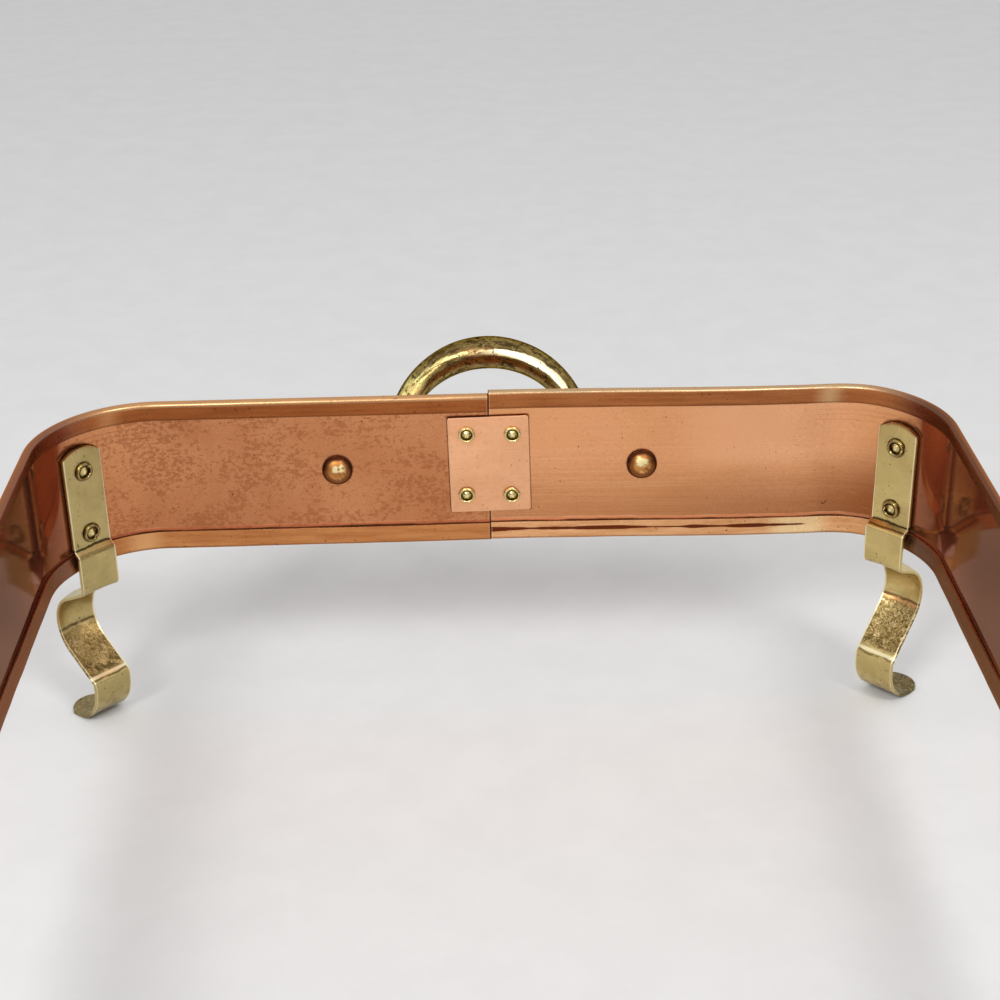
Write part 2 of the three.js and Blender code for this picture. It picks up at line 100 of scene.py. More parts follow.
# The strap legs: their waves set in from free_start to free_end, and their ends are rounded over a length.
STRAP = in_mm(width=17.1, thickness=1.3, edge=0.4, ring=7.2, roll=1.3, top=49.4, top_radius=13, end=7,
              low_rivet=14.3, rivet_pitch=25.5, wave=0.2, free_start=52, free_end=66)
LEG = in_mm(step=1.1, inset=1.2, joggle_sink=0.6, joggle_length=2, joggle_bend=0.7, knee_drop=9.2,
            knee_bend=3, shoulder_reach=23.7, shoulder_drop=23, shoulder_skew=4, shoulder_bend=13.5, dome=2.6,
            dome_start=6, ankle_drop=49, ankle_bend=2.2, foot_bend=16.8, toe_reach=18.5, toe_radius=9)

# The handles. A dome's shift from its place is across and up.
GRIP = in_mm(diameter=13.1, neck=9, radius=34.8, height=45.3)
GRIP_SLOPE = radians(50)
PAD = in_mm(run=5.5, width=14.6, thickness=3.2, reach=8.6)
PAD_TIP = 0.25                          # the narrowest share of a pad's width, at its tip
HANDLE = in_mm(span=115, rise=31.4, shank=5, peen=9.4, peen_height=2.2)
DOME = in_mm(diameter=11.7, height=3.5, lip=0.35, middle=57.6)
DOME_SHIFTS = {"left": (-0.8 * MM, -0.2 * MM), "right": (0.1 * MM, -0.9 * MM)}
PAD_START = HANDLE.span / 2 - HANDLE.peen / 2 - FIT
FOOT_RADIUS = min(PAD_START - PAD.run - GRIP.radius, GRIP.height - GRIP.radius)
GIRTH = pi * GRIP.diameter

# How fine the meshes are: steps to a turn or a row, and the widest gaps between rings.
FOLD_STEPS = 7
BEND_STEPS = 14
CORNER_STEPS = 26
LATHE_SIDES = 44
GRIP_SIDES = 32
TIP_STEPS = 12
STRAP_STEPS = 12
EDGE_STEPS = 3
DOME_STEPS = 14
BUTTON_STEPS = 6
ROLL_STEPS = 12
HEAD_STEPS = 8
PEEN_STEPS = 10
GAP = in_mm(section=5, station=7, strap=2.2, grip=2.5)
CREASE = 34                             # degrees between faces that meet in a sharp edge
TURNED_CREASE = 50

# The camera of the photograph.
FOCAL_PIXELS = 1884
FRAME_PIXELS = 1000
SENSOR = 36
CAMERA_PLACE = Vector((-8.0 * MM, -381.6 * MM, BAND_DROP + 341.2 * MM))
CAMERA_YAW = radians(1.0)
CAMERA_PITCH = radians(26.64)
CAMERA_ROLL = radians(-1.04)

# The studio: lamps are (name, place, width, depth, watts).
ROOM_LIGHT = 0.6
LAMP_TARGET = Vector((0, 0.1, 0.1))
LAMPS = (("key", (-0.55, -0.95, 1.15), 0.5, 0.4, 11), ("fill", (0.6, -0.85, 1.45), 0.45, 0.4, 9))
FLOOR_REACH = 6.0


# Meshes

def smooth(value, low, high):
    """0 below low, 1 above high, and a smooth rise between."""
    share = min(max((value - low) / (high - low), 0), 1)
    return share * share * (3 - 2 * share)


def lerp(start, end, share):
    return start + (end - start) * share


def wobble(*place, seed=0):
    """Smooth noise from -1 to 1 at a place given in units of its own grain."""
    spot = list(place) + [0] * (3 - len(place))
    return noise.noise(Vector((spot[0] + 17.3 * seed, spot[1] - 5.1 * seed, spot[2] + 3.7 * seed)))


def run_lengths(points):
    """The distance run at each of a row of points."""
    runs = [0.0]
    for last, point in zip(points, points[1:]):
        runs.append(runs[-1] + dist(last, point))
    return runs


class Spot:
    """A point of a flat path, with its heading and the distance run."""

    def __init__(self, point, along, run):
        self.point, self.along, self.run = point, along, run

    @property
    def normal(self):
        return Vector((-self.along.y, self.along.x))


def bent_path(corners, steps, gap):
    """A path of straight runs with rounded corners: each corner is (across, up, bend radius)."""
    spots = []

    def add(point, along):
        if not spots:
            spots.append(Spot(point, along.copy(), 0.0))
            return
        start, run = spots[-1].point, spots[-1].run
        length = (point - start).length
        extra = int(length / gap)
        for step in range(1, extra + 1):
            share = step / (extra + 1)
            spots.append(Spot(start.lerp(point, share), along.copy(), run + length * share))
        spots.append(Spot(point, along.copy(), run + length))

    places = [Vector(corner[:2]) for corner in corners]
    add(places[0], (places[1] - places[0]).normalized())
    for index in range(1, len(places) - 1):
        before = (places[index] - places[index - 1]).normalized()
        after = (places[index + 1] - places[index]).normalized()
        radius = corners[index][2]
        turn = atan2(before.x * after.y - before.y * after.x, before.dot(after))
        start = places[index] - before * radius * tan(abs(turn) / 2)
        side = Vector((-before.y, before.x)) * copysign(1, turn)
        centre = start + side * radius
        count = max(1, ceil(abs(turn) / QUARTER * steps))
        for step in range(count + 1):
            swing = Matrix.Rotation(turn * step / count, 2)
            add(centre + swing @ (side * -radius), swing @ before)
    add(places[-1], (places[-1] - places[-2]).normalized())
    return spots


def linked(name, data):
    """A new object in the scene."""
    thing = bpy.data.objects.new(name, data)
    bpy.context.scene.collection.objects.link(thing)
    return thing


def skinned(name, rows, runs, around, crease=CREASE):
    """A closed skin over rows of points: a row of one point is a pole, and any other end row gets a cap.

    UVs are metres: runs[i] along the rows, and around[j] round a row, with one entry more than points.
    """
    mesh = bpy.data.meshes.new(name)
    shape = bmesh.new()
    layer = shape.loops.layers.uv.new("surface")
    rows = [[shape.verts.new(point) for point in row] for row in rows]
    count = len(around) - 1

    def add_face(*corners):
        """Each corner is (row, column). The corners at a pole are one vertex."""
        places = {}
        for row, column in corners:
            places.setdefault(rows[row][column % len(rows[row])], (runs[row], around[column]))
        for loop in shape.faces.new(list(places)).loops:
            loop[layer].uv = places[loop.vert]

    for row in range(len(rows) - 1):
        for side in range(count):
            add_face((row, side), (row, side + 1), (row + 1, side + 1), (row + 1, side))
    for row in (0, len(rows) - 1):
        if len(rows[row]) > 1:
            add_face(*((row, side) for side in range(count)))
    bmesh.ops.recalc_face_normals(shape, faces=shape.faces)
    shape.to_mesh(mesh)
    shape.free()
    mesh.shade_smooth()
    mesh.set_sharp_from_angle(angle=radians(crease))
    return linked(name, mesh)


def turned(name, profile, matrix, bend):
    """A turned piece: profile is (radius, height) from one pole to the other, along the matrix's +Z.

    bend(radius, height, angle) may move a point a little, for clinched or worn edges.
    """
    around = [2 * pi * side / LATHE_SIDES for side in range(LATHE_SIDES + 1)]
    rows = []
    for radius, height in profile:
        if radius == 0:
            rows.append([matrix @ Vector((0, 0, height))])
            continue
        row = []
        for angle in around[:-1]:
            out, up = bend(radius, height, angle)
            row.append(matrix @ Vector((out * cos(angle), out * sin(angle), up)))
        rows.append(row)
    return skinned(name, rows, run_lengths(profile), around, TURNED_CREASE)


def stand_for(piece, material, node, slot):
    """Puts a finished piece, in its material, in the place of its CAD node."""
    piece.data.materials.append(material)
    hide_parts(node)
    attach(piece, "root")


# The band

def band_section(rim):
    """The middle of the folded sheet: inward from the outer face, and up from the bottom edge."""
    middle = SHEET / 2
    mouth = SHEET + HEM.mouth + middle
    return bent_path([
        (mouth, HEM.low_height, 0),
        (HEM.low_depth - middle, middle, HEM.bend),
        (middle, middle, HEM.bend),
        (middle, rim - middle, HEM.bend),
        (HEM.top_depth - middle, rim - middle, HEM.bend),
        (mouth, rim - HEM.top_height, 0),
    ], FOLD_STEPS, GAP.section)


def band_marks(rim):
    """Where along the sheet the hems' mouths face the wall, the top hem rolls over and the sheet ends."""
    section = band_section(rim)
    wall = next(spot for spot in section if spot.point.x < SHEET and spot.point.y > HEM.low_height)
    foot = wall.run - wall.point.y
    top = foot + rim - HEM.top_height
    roll = next(spot.run for spot in section if spot.run > top and spot.point.x > SHEET)
    return SimpleNamespace(bottom=foot + HEM.low_height, top=top, roll=roll, end=section[-1].run)


def band_stations(side, seam):
    """Stations from one seam to the other: (x, y, outward x, outward y, distance run)."""
    corners = [(seam, HALF_LENGTH, 0, 1)]
    for back in (1, -1):
        start = QUARTER if back > 0 else 0
        for step in range(CORNER_STEPS + 1):
            angle = start - QUARTER * step / CORNER_STEPS
            out = (side * cos(angle), sin(angle))
            corners.append((side * (HALF_WIDTH - CORNER_RADIUS) + CORNER_RADIUS * out[0],
                            back * (HALF_LENGTH - CORNER_RADIUS) + CORNER_RADIUS * out[1], *out))
    corners.append((seam, -HALF_LENGTH, 0, -1))
    stations = [(*corners[0], 0.0)]
    for place in corners[1:]:
        last = stations[-1]
        length = dist(place[:2], last[:2])
        count = max(1, round(length / GAP.station))
        for step in range(1, count + 1):
            share = step / count
            stations.append((*(lerp(a, b, share) for a, b in zip(last, place)), last[4] + length * share))
    return stations


HALF_RUN = band_stations(1, SEAM)[-1][4] / 2


def band_half(name, side, low, high, seed):
    """One half, a worn strip of sheet: its hems sway, and its cut ends are broken and butt at the seam."""
    section = band_section(high.z - low.z)
    first, *inner, last = band_stations(side, SEAM + side * SEAM_CUT.play)
    near, far = [(end[0] + side * SEAM_CUT.edge, *end[1:]) for end in (first, last)]
    sheets = [(first, CUT_SHARE), *((station, 1) for station in (near, *inner, far)), (last, CUT_SHARE)]
    rings, runs = [], []
    for (x, y, out_x, out_y, run), thick in sheets:
        ring = []
        near_run = min(run, last[4] - run)
        dip = smooth(near_run, 0, SAG.run) * (1 - smooth(near_run, SAG.fade_start, SAG.fade_end))
        base = low.z - (SAG.depth * dip if side > 0 else 0)
        for spot, face in [(spot, 1) for spot in section] + [(spot, -1) for spot in reversed(section)]:
            depth, height = spot.point + spot.normal * face * thick * SHEET / 2
            hem = smooth(depth, SHEET, 2 * SHEET)
            depth += hem * (HEM.sway * wobble(run / (60 * MM), height / (20 * MM), seed=seed)
                            + HEM.ripple * wobble(run / (13 * MM), 3, seed=seed))
            height += hem * HEM.lift * wobble(run / (35 * MM), 9, seed=seed + 2)
            ring.append(Vector((x - out_x * depth, y - out_y * depth, base + max(height, 0))))
        rings.append(ring)
        runs.append(run)
    around = [spot.run for spot in section] + [spot.run for spot in reversed(section)] + [section[0].run]
    return skinned(name, rings, runs, around)


# Plates and rivets

def rounded_outline(width, height, radius, steps=5):
    points = []
    for corner, (x, y) in enumerate(((1, 1), (-1, 1), (-1, -1), (1, -1))):
        for step in range(steps + 1):
            angle = QUARTER * (corner + step / steps)
            points.append(Vector((x * (width / 2 - radius) + radius * cos(angle),
                                  y * (height / 2 - radius) + radius * sin(angle))))
    return points


def joint_plate(name, node, back):
    """A sheared plate with broken edges; its four corners are hardly rounded."""
    low, high, middle = node_box(node)
    wall = high.y if back > 0 else low.y
    turn = Matrix.Rotation(PLATE_TILT, 2)
    layers = ((PLATE.edge, 0), (0, PLATE.edge), (0, PLATE.thickness - PLATE.edge),
              (PLATE.edge * 0.3, PLATE.thickness - PLATE.edge * 0.3), (PLATE.edge, PLATE.thickness))
    rings = []
    for inset, rise in layers:
        outline = rounded_outline(PLATE.width - 2 * inset, PLATE.height - 2 * inset, PLATE.corner)
        places = [turn @ point for point in outline]
        rings.append([Vector((middle.x + p.x, wall - back * rise, middle.z + p.y)) for p in places])
    around = [step * MM for step in range(len(rings[0]) + 1)]
    return skinned(name, rings, [rise for _, rise in layers], around)


def clinched(eye, gap_angle, gap_depth, seed):
    """Makes a tubular rivet's rolled ring uneven, with one split in it."""
    def bend(radius, height, angle):
        if height < 0:
            return radius, height
        x, y = cos(angle), sin(angle)
        away = atan2(sin(angle - gap_angle), cos(angle - gap_angle))
        split = gap_depth * exp(-(away / SPLIT_WIDTH) ** 4) * smooth(radius, eye * 0.9, eye * 1.05)
        sway = 1 + 0.05 * wobble(1.6 * x, 1.6 * y, seed=seed)
        rough = 1 + 0.09 * wobble(3 * x, 3 * y, radius / MM, seed=seed + 1)
        return radius * sway * (1 - 0.1 * split), height * rough * (1 - split)
    return bend


def worn_round(radius, height, angle):
    """Makes a dome a little out of round."""
    return radius * (1 + 0.012 * wobble(cos(angle), sin(angle), height / MM)), height


def rivet_marks(ring_diameter, roll):
    """How far from the middle, along the profile, the button, the hollow and the ring end."""
    eye = ring_diameter / 2 - roll
    button = hypot(eye * BUTTON_SHARE, RIVET.button) * 1.06
    hollow = button + eye * (1 - BUTTON_SHARE)
    return SimpleNamespace(button=button, hollow=hollow, ring=hollow + roll + 1.3 * RIVET.ring_height)


def low_head(radius, height, grip, steps):
    """The profile of the round head behind the grip, from its rim to its pole."""
    points = [(radius, -grip)]
    for step in range(1, steps):
        angle = QUARTER * step / steps
        points.append((radius * cos(angle), -grip - height * sin(angle)))
    return points + [(0, -grip - height)]


def tubular_rivet(name, matrix, grip, ring_diameter, roll, gap_angle, gap_depth, seed):
    """A tubular rivet whose clinched ring faces the matrix's +Z; its flat head is behind the grip."""
    ring, shank = ring_diameter / 2, RIVET.shank / 2
    eye = ring - roll
    floor = RIVET.ring_height - RIVET.eye_depth
    profile = [(0, floor + RIVET.button)]
    for step in range(1, BUTTON_STEPS + 1):
        share = step / BUTTON_STEPS
        profile.append((eye * BUTTON_SHARE * share, floor + RIVET.button * cos(share * QUARTER)))
    profile.append((eye * 0.97, floor))
    for step in range(1, ROLL_STEPS):
        angle = pi - pi * step / ROLL_STEPS
        profile.append(((eye + ring + roll * cos(angle)) / 2, RIVET.ring_height * sin(angle) ** 0.7))
    profile += [(ring, 0), (shank, 0), (shank, -grip)]
    profile += low_head(RIVET.head / 2, RIVET.head_height, grip, HEAD_STEPS)
    return turned(name, profile, matrix, clinched(eye, gap_angle, gap_depth, seed))


def handle_rivet(name, matrix, grip):
    """The dome faces the matrix's +Z; the low peened head lies behind the grip."""
    dome, shank = DOME.diameter / 2, HANDLE.shank / 2
    profile = []
    for step in range(DOME_STEPS + 1):
        angle = QUARTER * step / DOME_STEPS
        profile.append((dome * sin(angle), DOME.lip + (DOME.height - DOME.lip) * cos(angle)))
    profile += [(dome - DOME.lip * 0.3, DOME.lip * 0.3), (dome - DOME.lip, 0), (shank, 0), (shank, -grip)]
    profile += low_head(HANDLE.peen / 2, HANDLE.peen_height, grip, PEEN_STEPS)
    return turned(name, profile, matrix, worn_round)


def facing(place, heading):
    """A matrix at a place, whose +Z runs along a level heading."""
    up = Vector((0, 0, 1))
    return Matrix.Translation(place) @ Matrix((up.cross(heading), up, heading)).transposed().to_4x4()


# Legs

def sag(radius, across):
    """How far an arc falls away from its tangent."""
    return radius - sqrt(radius * radius - across * across)


WALL_SAG = sag(CORNER_RADIUS - SHEET, STRAP.width / 2)
HEM_SAG = sag(CORNER_RADIUS - HEM.low_depth, STRAP.width / 2)
STRAP_SEAT = -(SHEET + WALL_SAG + FIT + STRAP.thickness / 2)
STRAP_LOW_SEAT = -(HEM.low_depth + HEM_SAG + FIT + STRAP.thickness / 2)


def corner_frame(left, back):
    """The band's outer corner at its bottom edge, and the heading out of it."""
    reach = CORNER_RADIUS * sqrt(0.5)
    place = Vector((left * (HALF_WIDTH - CORNER_RADIUS + reach), back * (HALF_LENGTH - CORNER_RADIUS + reach),
                    BAND_DROP))
    return place, Vector((left, back, 0)).normalized()


def strap_path(side):
    """The strap's middle line: out from the band's outer face, and up from the left half's bottom edge."""
    right = side > 0
    sole = -(BAND_DROP - STRAP.thickness / 2)
    skew = side * LEG.shoulder_skew
    lift = LEG.step if right else 0
    low_seat = STRAP_LOW_SEAT - (LEG.inset if right else 0)
    joggle = HEM.low_height - LEG.joggle_sink + (RIGHT_LOW.z - LEFT_LOW.z if right else 0)
    return bent_path([
        (STRAP_SEAT, STRAP.top + lift, 0),
        (STRAP_SEAT, joggle + LEG.joggle_length, LEG.joggle_bend),
        (low_seat, joggle, LEG.joggle_bend),
        (low_seat, lift - LEG.knee_drop, LEG.knee_bend),
        (LEG.shoulder_reach - skew, -(LEG.shoulder_drop - skew), LEG.shoulder_bend),
        (low_seat, -LEG.ankle_drop, LEG.ankle_bend),
        (low_seat, sole, LEG.foot_bend),
        (LEG.toe_reach, sole, 0),
    ], BEND_STEPS, GAP.strap)


def strap_marks(side):
    """Where the strap's features lie along it: its rivets, joggle, knee, two creases and toe."""
    path = strap_path(side)
    bulge = max((spot.point for spot in path if spot.point.y > -LEG.ankle_drop), key=lambda point: point.x)

    def run_below(height):
        return next(spot.run for spot in path if spot.point.y < height)

    lower = STRAP.top - STRAP.low_rivet
    return SimpleNamespace(
        rivets=(lower - STRAP.rivet_pitch, lower),
        joggle=next(spot.run for spot in path if spot.point.x < STRAP_SEAT - 0.01 * MM),
        knee=run_below(LEG.step - LEG.knee_drop), first=run_below(bulge.y - 3 * MM),
        second=run_below(-(LEG.ankle_drop - 1.5 * MM)), toe=path[-1].run)


def strap_ring():
    """The strap's section, (across, shift), with broken edges: its lower half mirrors its upper half."""
    flat, face = STRAP.width / 2 - STRAP.edge, STRAP.thickness / 2 - STRAP.edge
    ring = [(flat * (2 * step / STRAP_STEPS - 1), face + STRAP.edge) for step in range(STRAP_STEPS + 1)]
    for start, rise, first in ((QUARTER, face, 1), (0, -face, 0)):
        for step in range(first, first + EDGE_STEPS):
            angle = start - QUARTER * step / EDGE_STEPS
            ring.append((flat + STRAP.edge * cos(angle), rise + STRAP.edge * sin(angle)))
    return [(sign * across, sign * shift) for sign in (1, -1) for across, shift in ring]


def strap_leg(name, left, back, seed):
    """A leg: its ends are rounded, its shoulder is domed, and it waves a little below the band."""
    path = strap_path(left)
    section = strap_ring()
    corner, out = corner_frame(left, back)
    side = Vector((-out.y, out.x, 0)) * left * back
    crown = LEG.shoulder_drop - left * LEG.shoulder_skew + LEG.knee_bend
    rings, runs = [], []
    for spot in path:
        drop = -spot.point.y
        spoon = smooth(drop, LEG.knee_drop - LEG.dome_start, crown)
        spoon *= 1 - smooth(drop, crown, LEG.ankle_drop)
        near_top = max(0, 1 - spot.run / STRAP.end)
        near_toe = max(0, 1 - (path[-1].run - spot.run) / STRAP.end)
        free = smooth(spot.run, STRAP.free_start, STRAP.free_end)
        narrow = 1 - 0.012 * (1 - wobble(spot.run / (20 * MM), 7, seed=seed))
        ring = []
        for across, shift in section:
            share = across / (STRAP.width / 2)
            slide = (near_top * sag(STRAP.top_radius, across)
                     - near_toe * sag(LEG.toe_radius, min(abs(across), LEG.toe_radius * 0.98)))
            wave = free * STRAP.wave * (wobble(spot.run / (11 * MM), share * 1.6, seed=seed) - 1)
            flat = (spot.point + spot.along * slide
                    - spot.normal * (shift - LEG.dome * spoon * (1 - share * share) + wave))
            up = Vector((0, 0, max(flat.y, -BAND_DROP)))
            ring.append(corner + out * flat.x + side * across * narrow + up)
        rings.append(ring)
        runs.append(spot.run)
    return skinned(name, rings, runs, run_lengths(section + section[:1]))


# Handles

def grip_spots():
    """Half a handle, from the crown to the tip of its pad: (across, height, along, width, depth, run)."""
    path = bent_path([
        (0, GRIP.height, 0),
        (GRIP.radius, GRIP.height, GRIP.radius),
        (GRIP.radius, 0, FOOT_RADIUS),
        (PAD_START, 0, 0),
    ], BEND_STEPS * 2, GAP.grip)
    arch = GRIP.radius * QUARTER
    spots = []
    for spot in path:
        flat = smooth(spot.run, arch + FOOT_RADIUS / 2, path[-1].run)
        bar = lerp(GRIP.diameter, GRIP.neck, smooth(spot.run, 0, arch))
        width, depth = lerp(bar, PAD.width, flat), lerp(bar, PAD.thickness, flat)
        spots.append((*spot.point, spot.along, width, depth, spot.run))
    _, height, along, width, depth, run = spots[-1]
    for step in range(1, TIP_STEPS + 1):
        angle = QUARTER * step / TIP_STEPS
        reach = PAD.reach * sin(angle)
        spots.append((HANDLE.span / 2 + reach, height, along, width * max(cos(angle), PAD_TIP), depth,
                      run + reach))
    return spots


def grip_ring(spot, hand, seed):
    """The bar's section at a spot of the right half, or with hand -1 at its mirror image."""
    across, height, along, width, depth, _ = spot
    across *= hand
    out = FIT + depth / 2 + height * sin(GRIP_SLOPE)
    up = height * cos(GRIP_SLOPE)
    lean = GRIP_SLOPE * smooth(height, 0, FOOT_RADIUS)
    ring = []
    for step in range(GRIP_SIDES):
        angle = 2 * pi * step / GRIP_SIDES
        x, y = cos(angle), sin(angle)
        slack = 1 - 0.018 * (1 - wobble(across / (12 * MM), x, y, seed=seed))
        over, deep = width / 2 * x * slack, depth / 2 * y * slack
        climb = along.x * over
        ring.append(Vector((out + climb * sin(lean) + deep * cos(lean), across - hand * along.y * over,
                            up + climb * cos(lean) - deep * sin(lean))))
    return ring


def handle(name, back, seed):
    spots = grip_spots()
    turn = Matrix.Rotation(back * QUARTER, 4, "Z")
    place = Matrix.Translation((0, back * HALF_LENGTH, BAND_DROP + HANDLE.rise)) @ turn
    rings, runs = [], []
    for hand, part in ((-1, reversed(spots)), (1, spots[1:])):
        for spot in part:
            rings.append([place @ point for point in grip_ring(spot, hand, seed)])
            runs.append(hand * spot[-1])
    return skinned(name, rings, runs, [GIRTH * step / GRIP_SIDES for step in range(GRIP_SIDES + 1)])


# Materials

class Length:
    """A distance over the surface, whose limits are given in millimetres past an origin."""

    def __init__(self, field, origin):
        self.field, self.origin = field, origin

    def rise(self, low, high, start=0.0, end=1.0):
        return self.field.rise(self.origin + low * MM, self.origin + high * MM, start, end)

    def between(self, low, high, soft):
        return self.field.between(self.origin + low * MM, self.origin + high * MM, soft * MM)


class Field:
    """What one node of a paint gives: a number, a colour or a place that differs over the surface."""

    def __init__(self, paint, socket):
        self.paint, self.socket = paint, socket

    def math(self, operation, *sources):
        return self.paint.node("ShaderNodeMath", dict(enumerate(sources)), operation=operation)

    def __add__(self, other):
        return self.math("ADD", self, other)

    def __sub__(self, other):
        return self.math("SUBTRACT", self, other)

    def __rsub__(self, other):
        return self.math("SUBTRACT", other, self)

    def __mul__(self, other):
        return self.math("MULTIPLY", self, other)

    def __or__(self, other):
        """The larger of the two."""
        return self.math("MAXIMUM", self, other)

    def __abs__(self):
        return self.math("ABSOLUTE", self)

    def past(self, origin=0):
        return Length(self, origin)

    def hypot(self, other):
        return self.math("SQRT", self * self + other * other)

    def rise(self, low, high, start=0.0, end=1.0):
        """A smooth change from start at low to end at high."""
        inputs = {"Value": self, "From Min": low, "From Max": high, "To Min": start, "To Max": end}
        return self.paint.node("ShaderNodeMapRange", inputs, interpolation_type="SMOOTHSTEP")

    def between(self, low, high, soft):
        """1 from low to high, 0 outside, with soft shoulders."""
        return self.rise(low - soft, low + soft) * self.rise(high - soft, high + soft, 1.0, 0.0)

    def mix(self, first, second):
        """From the first colour at 0 to the second at 1."""
        inputs = {"Factor": self, 6: first, 7: second}
        return self.paint.node("ShaderNodeMix", inputs, 2, data_type="RGBA", blend_type="MIX")

    def under(self, share, upper, strength):
        """This colour with another laid over it, at most at the given strength."""
        return (share * strength).mix(self, upper)

    def parts(self):
        node = self.paint.node("ShaderNodeSeparateXYZ", {0: self}).socket.node
        return [Field(self.paint, output) for output in node.outputs]

    def scaled(self, scale, shift=(0, 0, 0), turn=(0, 0, 0)):
        inputs = {"Vector": self, "Scale": scale, "Location": shift, "Rotation": turn}
        return self.paint.node("ShaderNodeMapping", inputs)

    def noise(self, scale, detail=4, roughness=0.5, distortion=0.0):
        inputs = {"Vector": self, "Scale": scale, "Detail": detail, "Roughness": roughness,
                  "Distortion": distortion}
        return self.paint.node("ShaderNodeTexNoise", inputs, "Fac")

    def grain(self, along, around, detail, roughness=0.5, distortion=0.0):
        """Noise with so many grains to a metre each way."""
        return self.scaled((along, around, 1)).noise(1, detail, roughness, distortion)

    def dots(self, scale, level, sparse):
        """Small ragged spots: the peaks of a fine noise above a level, where a coarse one allows them."""
        spots = self.noise(scale, 1).rise(level, level + 0.04)
        return spots * self.noise(scale / 7, 2).rise(sparse, sparse + 0.05)

    def dashes(self, along, across, turn, sparse):
        """Short thin scratches, with so many grains to a metre along and across them."""
        stretched = self.scaled((1, 1, 1), turn=(0, 0, turn)).scaled((along, across, along))
        inputs = {"Vector": stretched, "Scale": 1, "Randomness": 1}
        lines = self.paint.node("ShaderNodeTexVoronoi", inputs, "Distance", feature="F1").rise(0.14, 0.07)
        return lines * self.noise(70, 2).rise(sparse - 0.06, sparse)


class Graph:
    """The nodes of a material or of the world."""

    def __init__(self, owner, shader):
        owner.use_nodes = True
        self.owner, self.tree = owner, owner.node_tree
        self.sockets = self.tree.nodes[shader].inputs

    def feed(self, target, source):
        if isinstance(source, Field):
            self.tree.links.new(source.socket, target)
        else:
            target.default_value = (*source, 1) if target.type == "RGBA" else source

    def node(self, kind, inputs=None, output=0, **settings):
        """Adds a node with its settings and inputs, and gives one output."""
        node = self.tree.nodes.new(kind)
        for setting, value in settings.items():
            setattr(node, setting, value)
        for socket, source in (inputs or {}).items():
            self.feed(node.inputs[socket], source)
        return Field(self, node.outputs[output])


class Paint(Graph):
    """One procedural material, whose colour is laid on in coats."""

    def __init__(self, name):
        super().__init__(bpy.data.materials.new(name), "Principled BSDF")
        self.place = self.node("ShaderNodeTexCoord", output="Object")
        self.surface = self.node("ShaderNodeTexCoord", output="UV")
        self.colour = None

    def lay(self, share, colour, strength):
        self.colour = self.colour.under(share, colour, strength)

    def lay_all(self, *coats):
        for coat in coats:
            self.lay(*coat)

    def inner_face(self):
        """1 on faces that look towards the middle of the stand, 0 on those that look out of it."""
        level = self.node("ShaderNodeNewGeometry", output="Position").scaled((1, 1, 0))
        normal = self.node("ShaderNodeNewGeometry", output="True Normal")
        out = self.node("ShaderNodeVectorMath", {0: level, 1: normal}, "Value", operation="DOT_PRODUCT")
        return out.past().rise(-20, 20, 1, 0)

    def bumps(self, *layers):
        """Each layer is (height, strength, distance in millimetres)."""
        target = self.sockets["Normal"]
        for height, strength, distance in layers:
            inputs = {"Height": height, "Strength": strength, "Distance": distance * MM}
            if target.is_linked:
                inputs["Normal"] = Field(self, target.links[0].from_socket)
            self.feed(target, self.node("ShaderNodeBump", inputs))

    def finish(self, roughness, metallic=1.0, tint=(1, 1, 1)):
        finishes = {"Base Color": self.colour, "Roughness": roughness, "Metallic": metallic,
                    "Specular Tint": tint}
        for socket, source in finishes.items():
            self.feed(self.sockets[socket], source)
        return self.owner


COPPER = SimpleNamespace(
    painted_sheen=(0.95, 0.49, 0.265), pit=(0.1, 0.035, 0.015), scratch=(0.16, 0.055, 0.025),
    plate_shade=(0.13, 0.048, 0.022), roll_edge_line=(0.16, 0.06, 0.025), streak=(0.12, 0.018, 0.004),
    grime_and_shade=(0.15, 0.06, 0.024), side_grime_and_shade=(0.02, 0.008, 0.004), top_mouth=(0.06, 0.02, 0.008),
    lip_line=(0.14, 0.05, 0.02), fold_shade=(0.25, 0.09, 0.035), bruise=(0.12, 0.04, 0.02),
    cut=(0.09, 0.035, 0.016), side_cloud=(0.14, 0.05, 0.035), side_glow=(0.26, 0.09, 0.042),
    side_scratch=(0.62, 0.34, 0.22), side_pit=(0.07, 0.025, 0.015), tint=(0.82, 0.56, 0.44))
# The two halves. The reach of the roll and the middle and half length of the gleam are millimetres.
COPPER_DARK = SimpleNamespace(
    wall=(0.66, 0.285, 0.127), wall_dark=(0.55, 0.215, 0.09), stain=(0.38, 0.13, 0.046),
    deep=(0.4, 0.125, 0.042), shine=(0.78, 0.4, 0.22), hem=(0.62, 0.27, 0.095),
    hem_dark=(0.48, 0.175, 0.055), gleam=(0.74, 0.4, 0.17), rim=(0.4, 0.125, 0.034),
    rim_dark=(0.3, 0.085, 0.021), roll=(0.6, 0.34, 0.165), roll_side=(0.3, 0.105, 0.045),
    side_near=(0.1, 0.053, 0.047), side_far=(0.38, 0.13, 0.08), long_hem=(0.225, 0.112, 0.08),
    low_shade=0.3, fall_start=0.28, fall_near=0.25, stained=0.62, grain=0.32, brushed=0.06, streak=0.1,
    smooth=0.24, lined=0.3, bent=0.55, painted_sheen=0.0, mouth=0.4,
    roll_reach=2.9, gleam_middle=10, gleam_half=6)
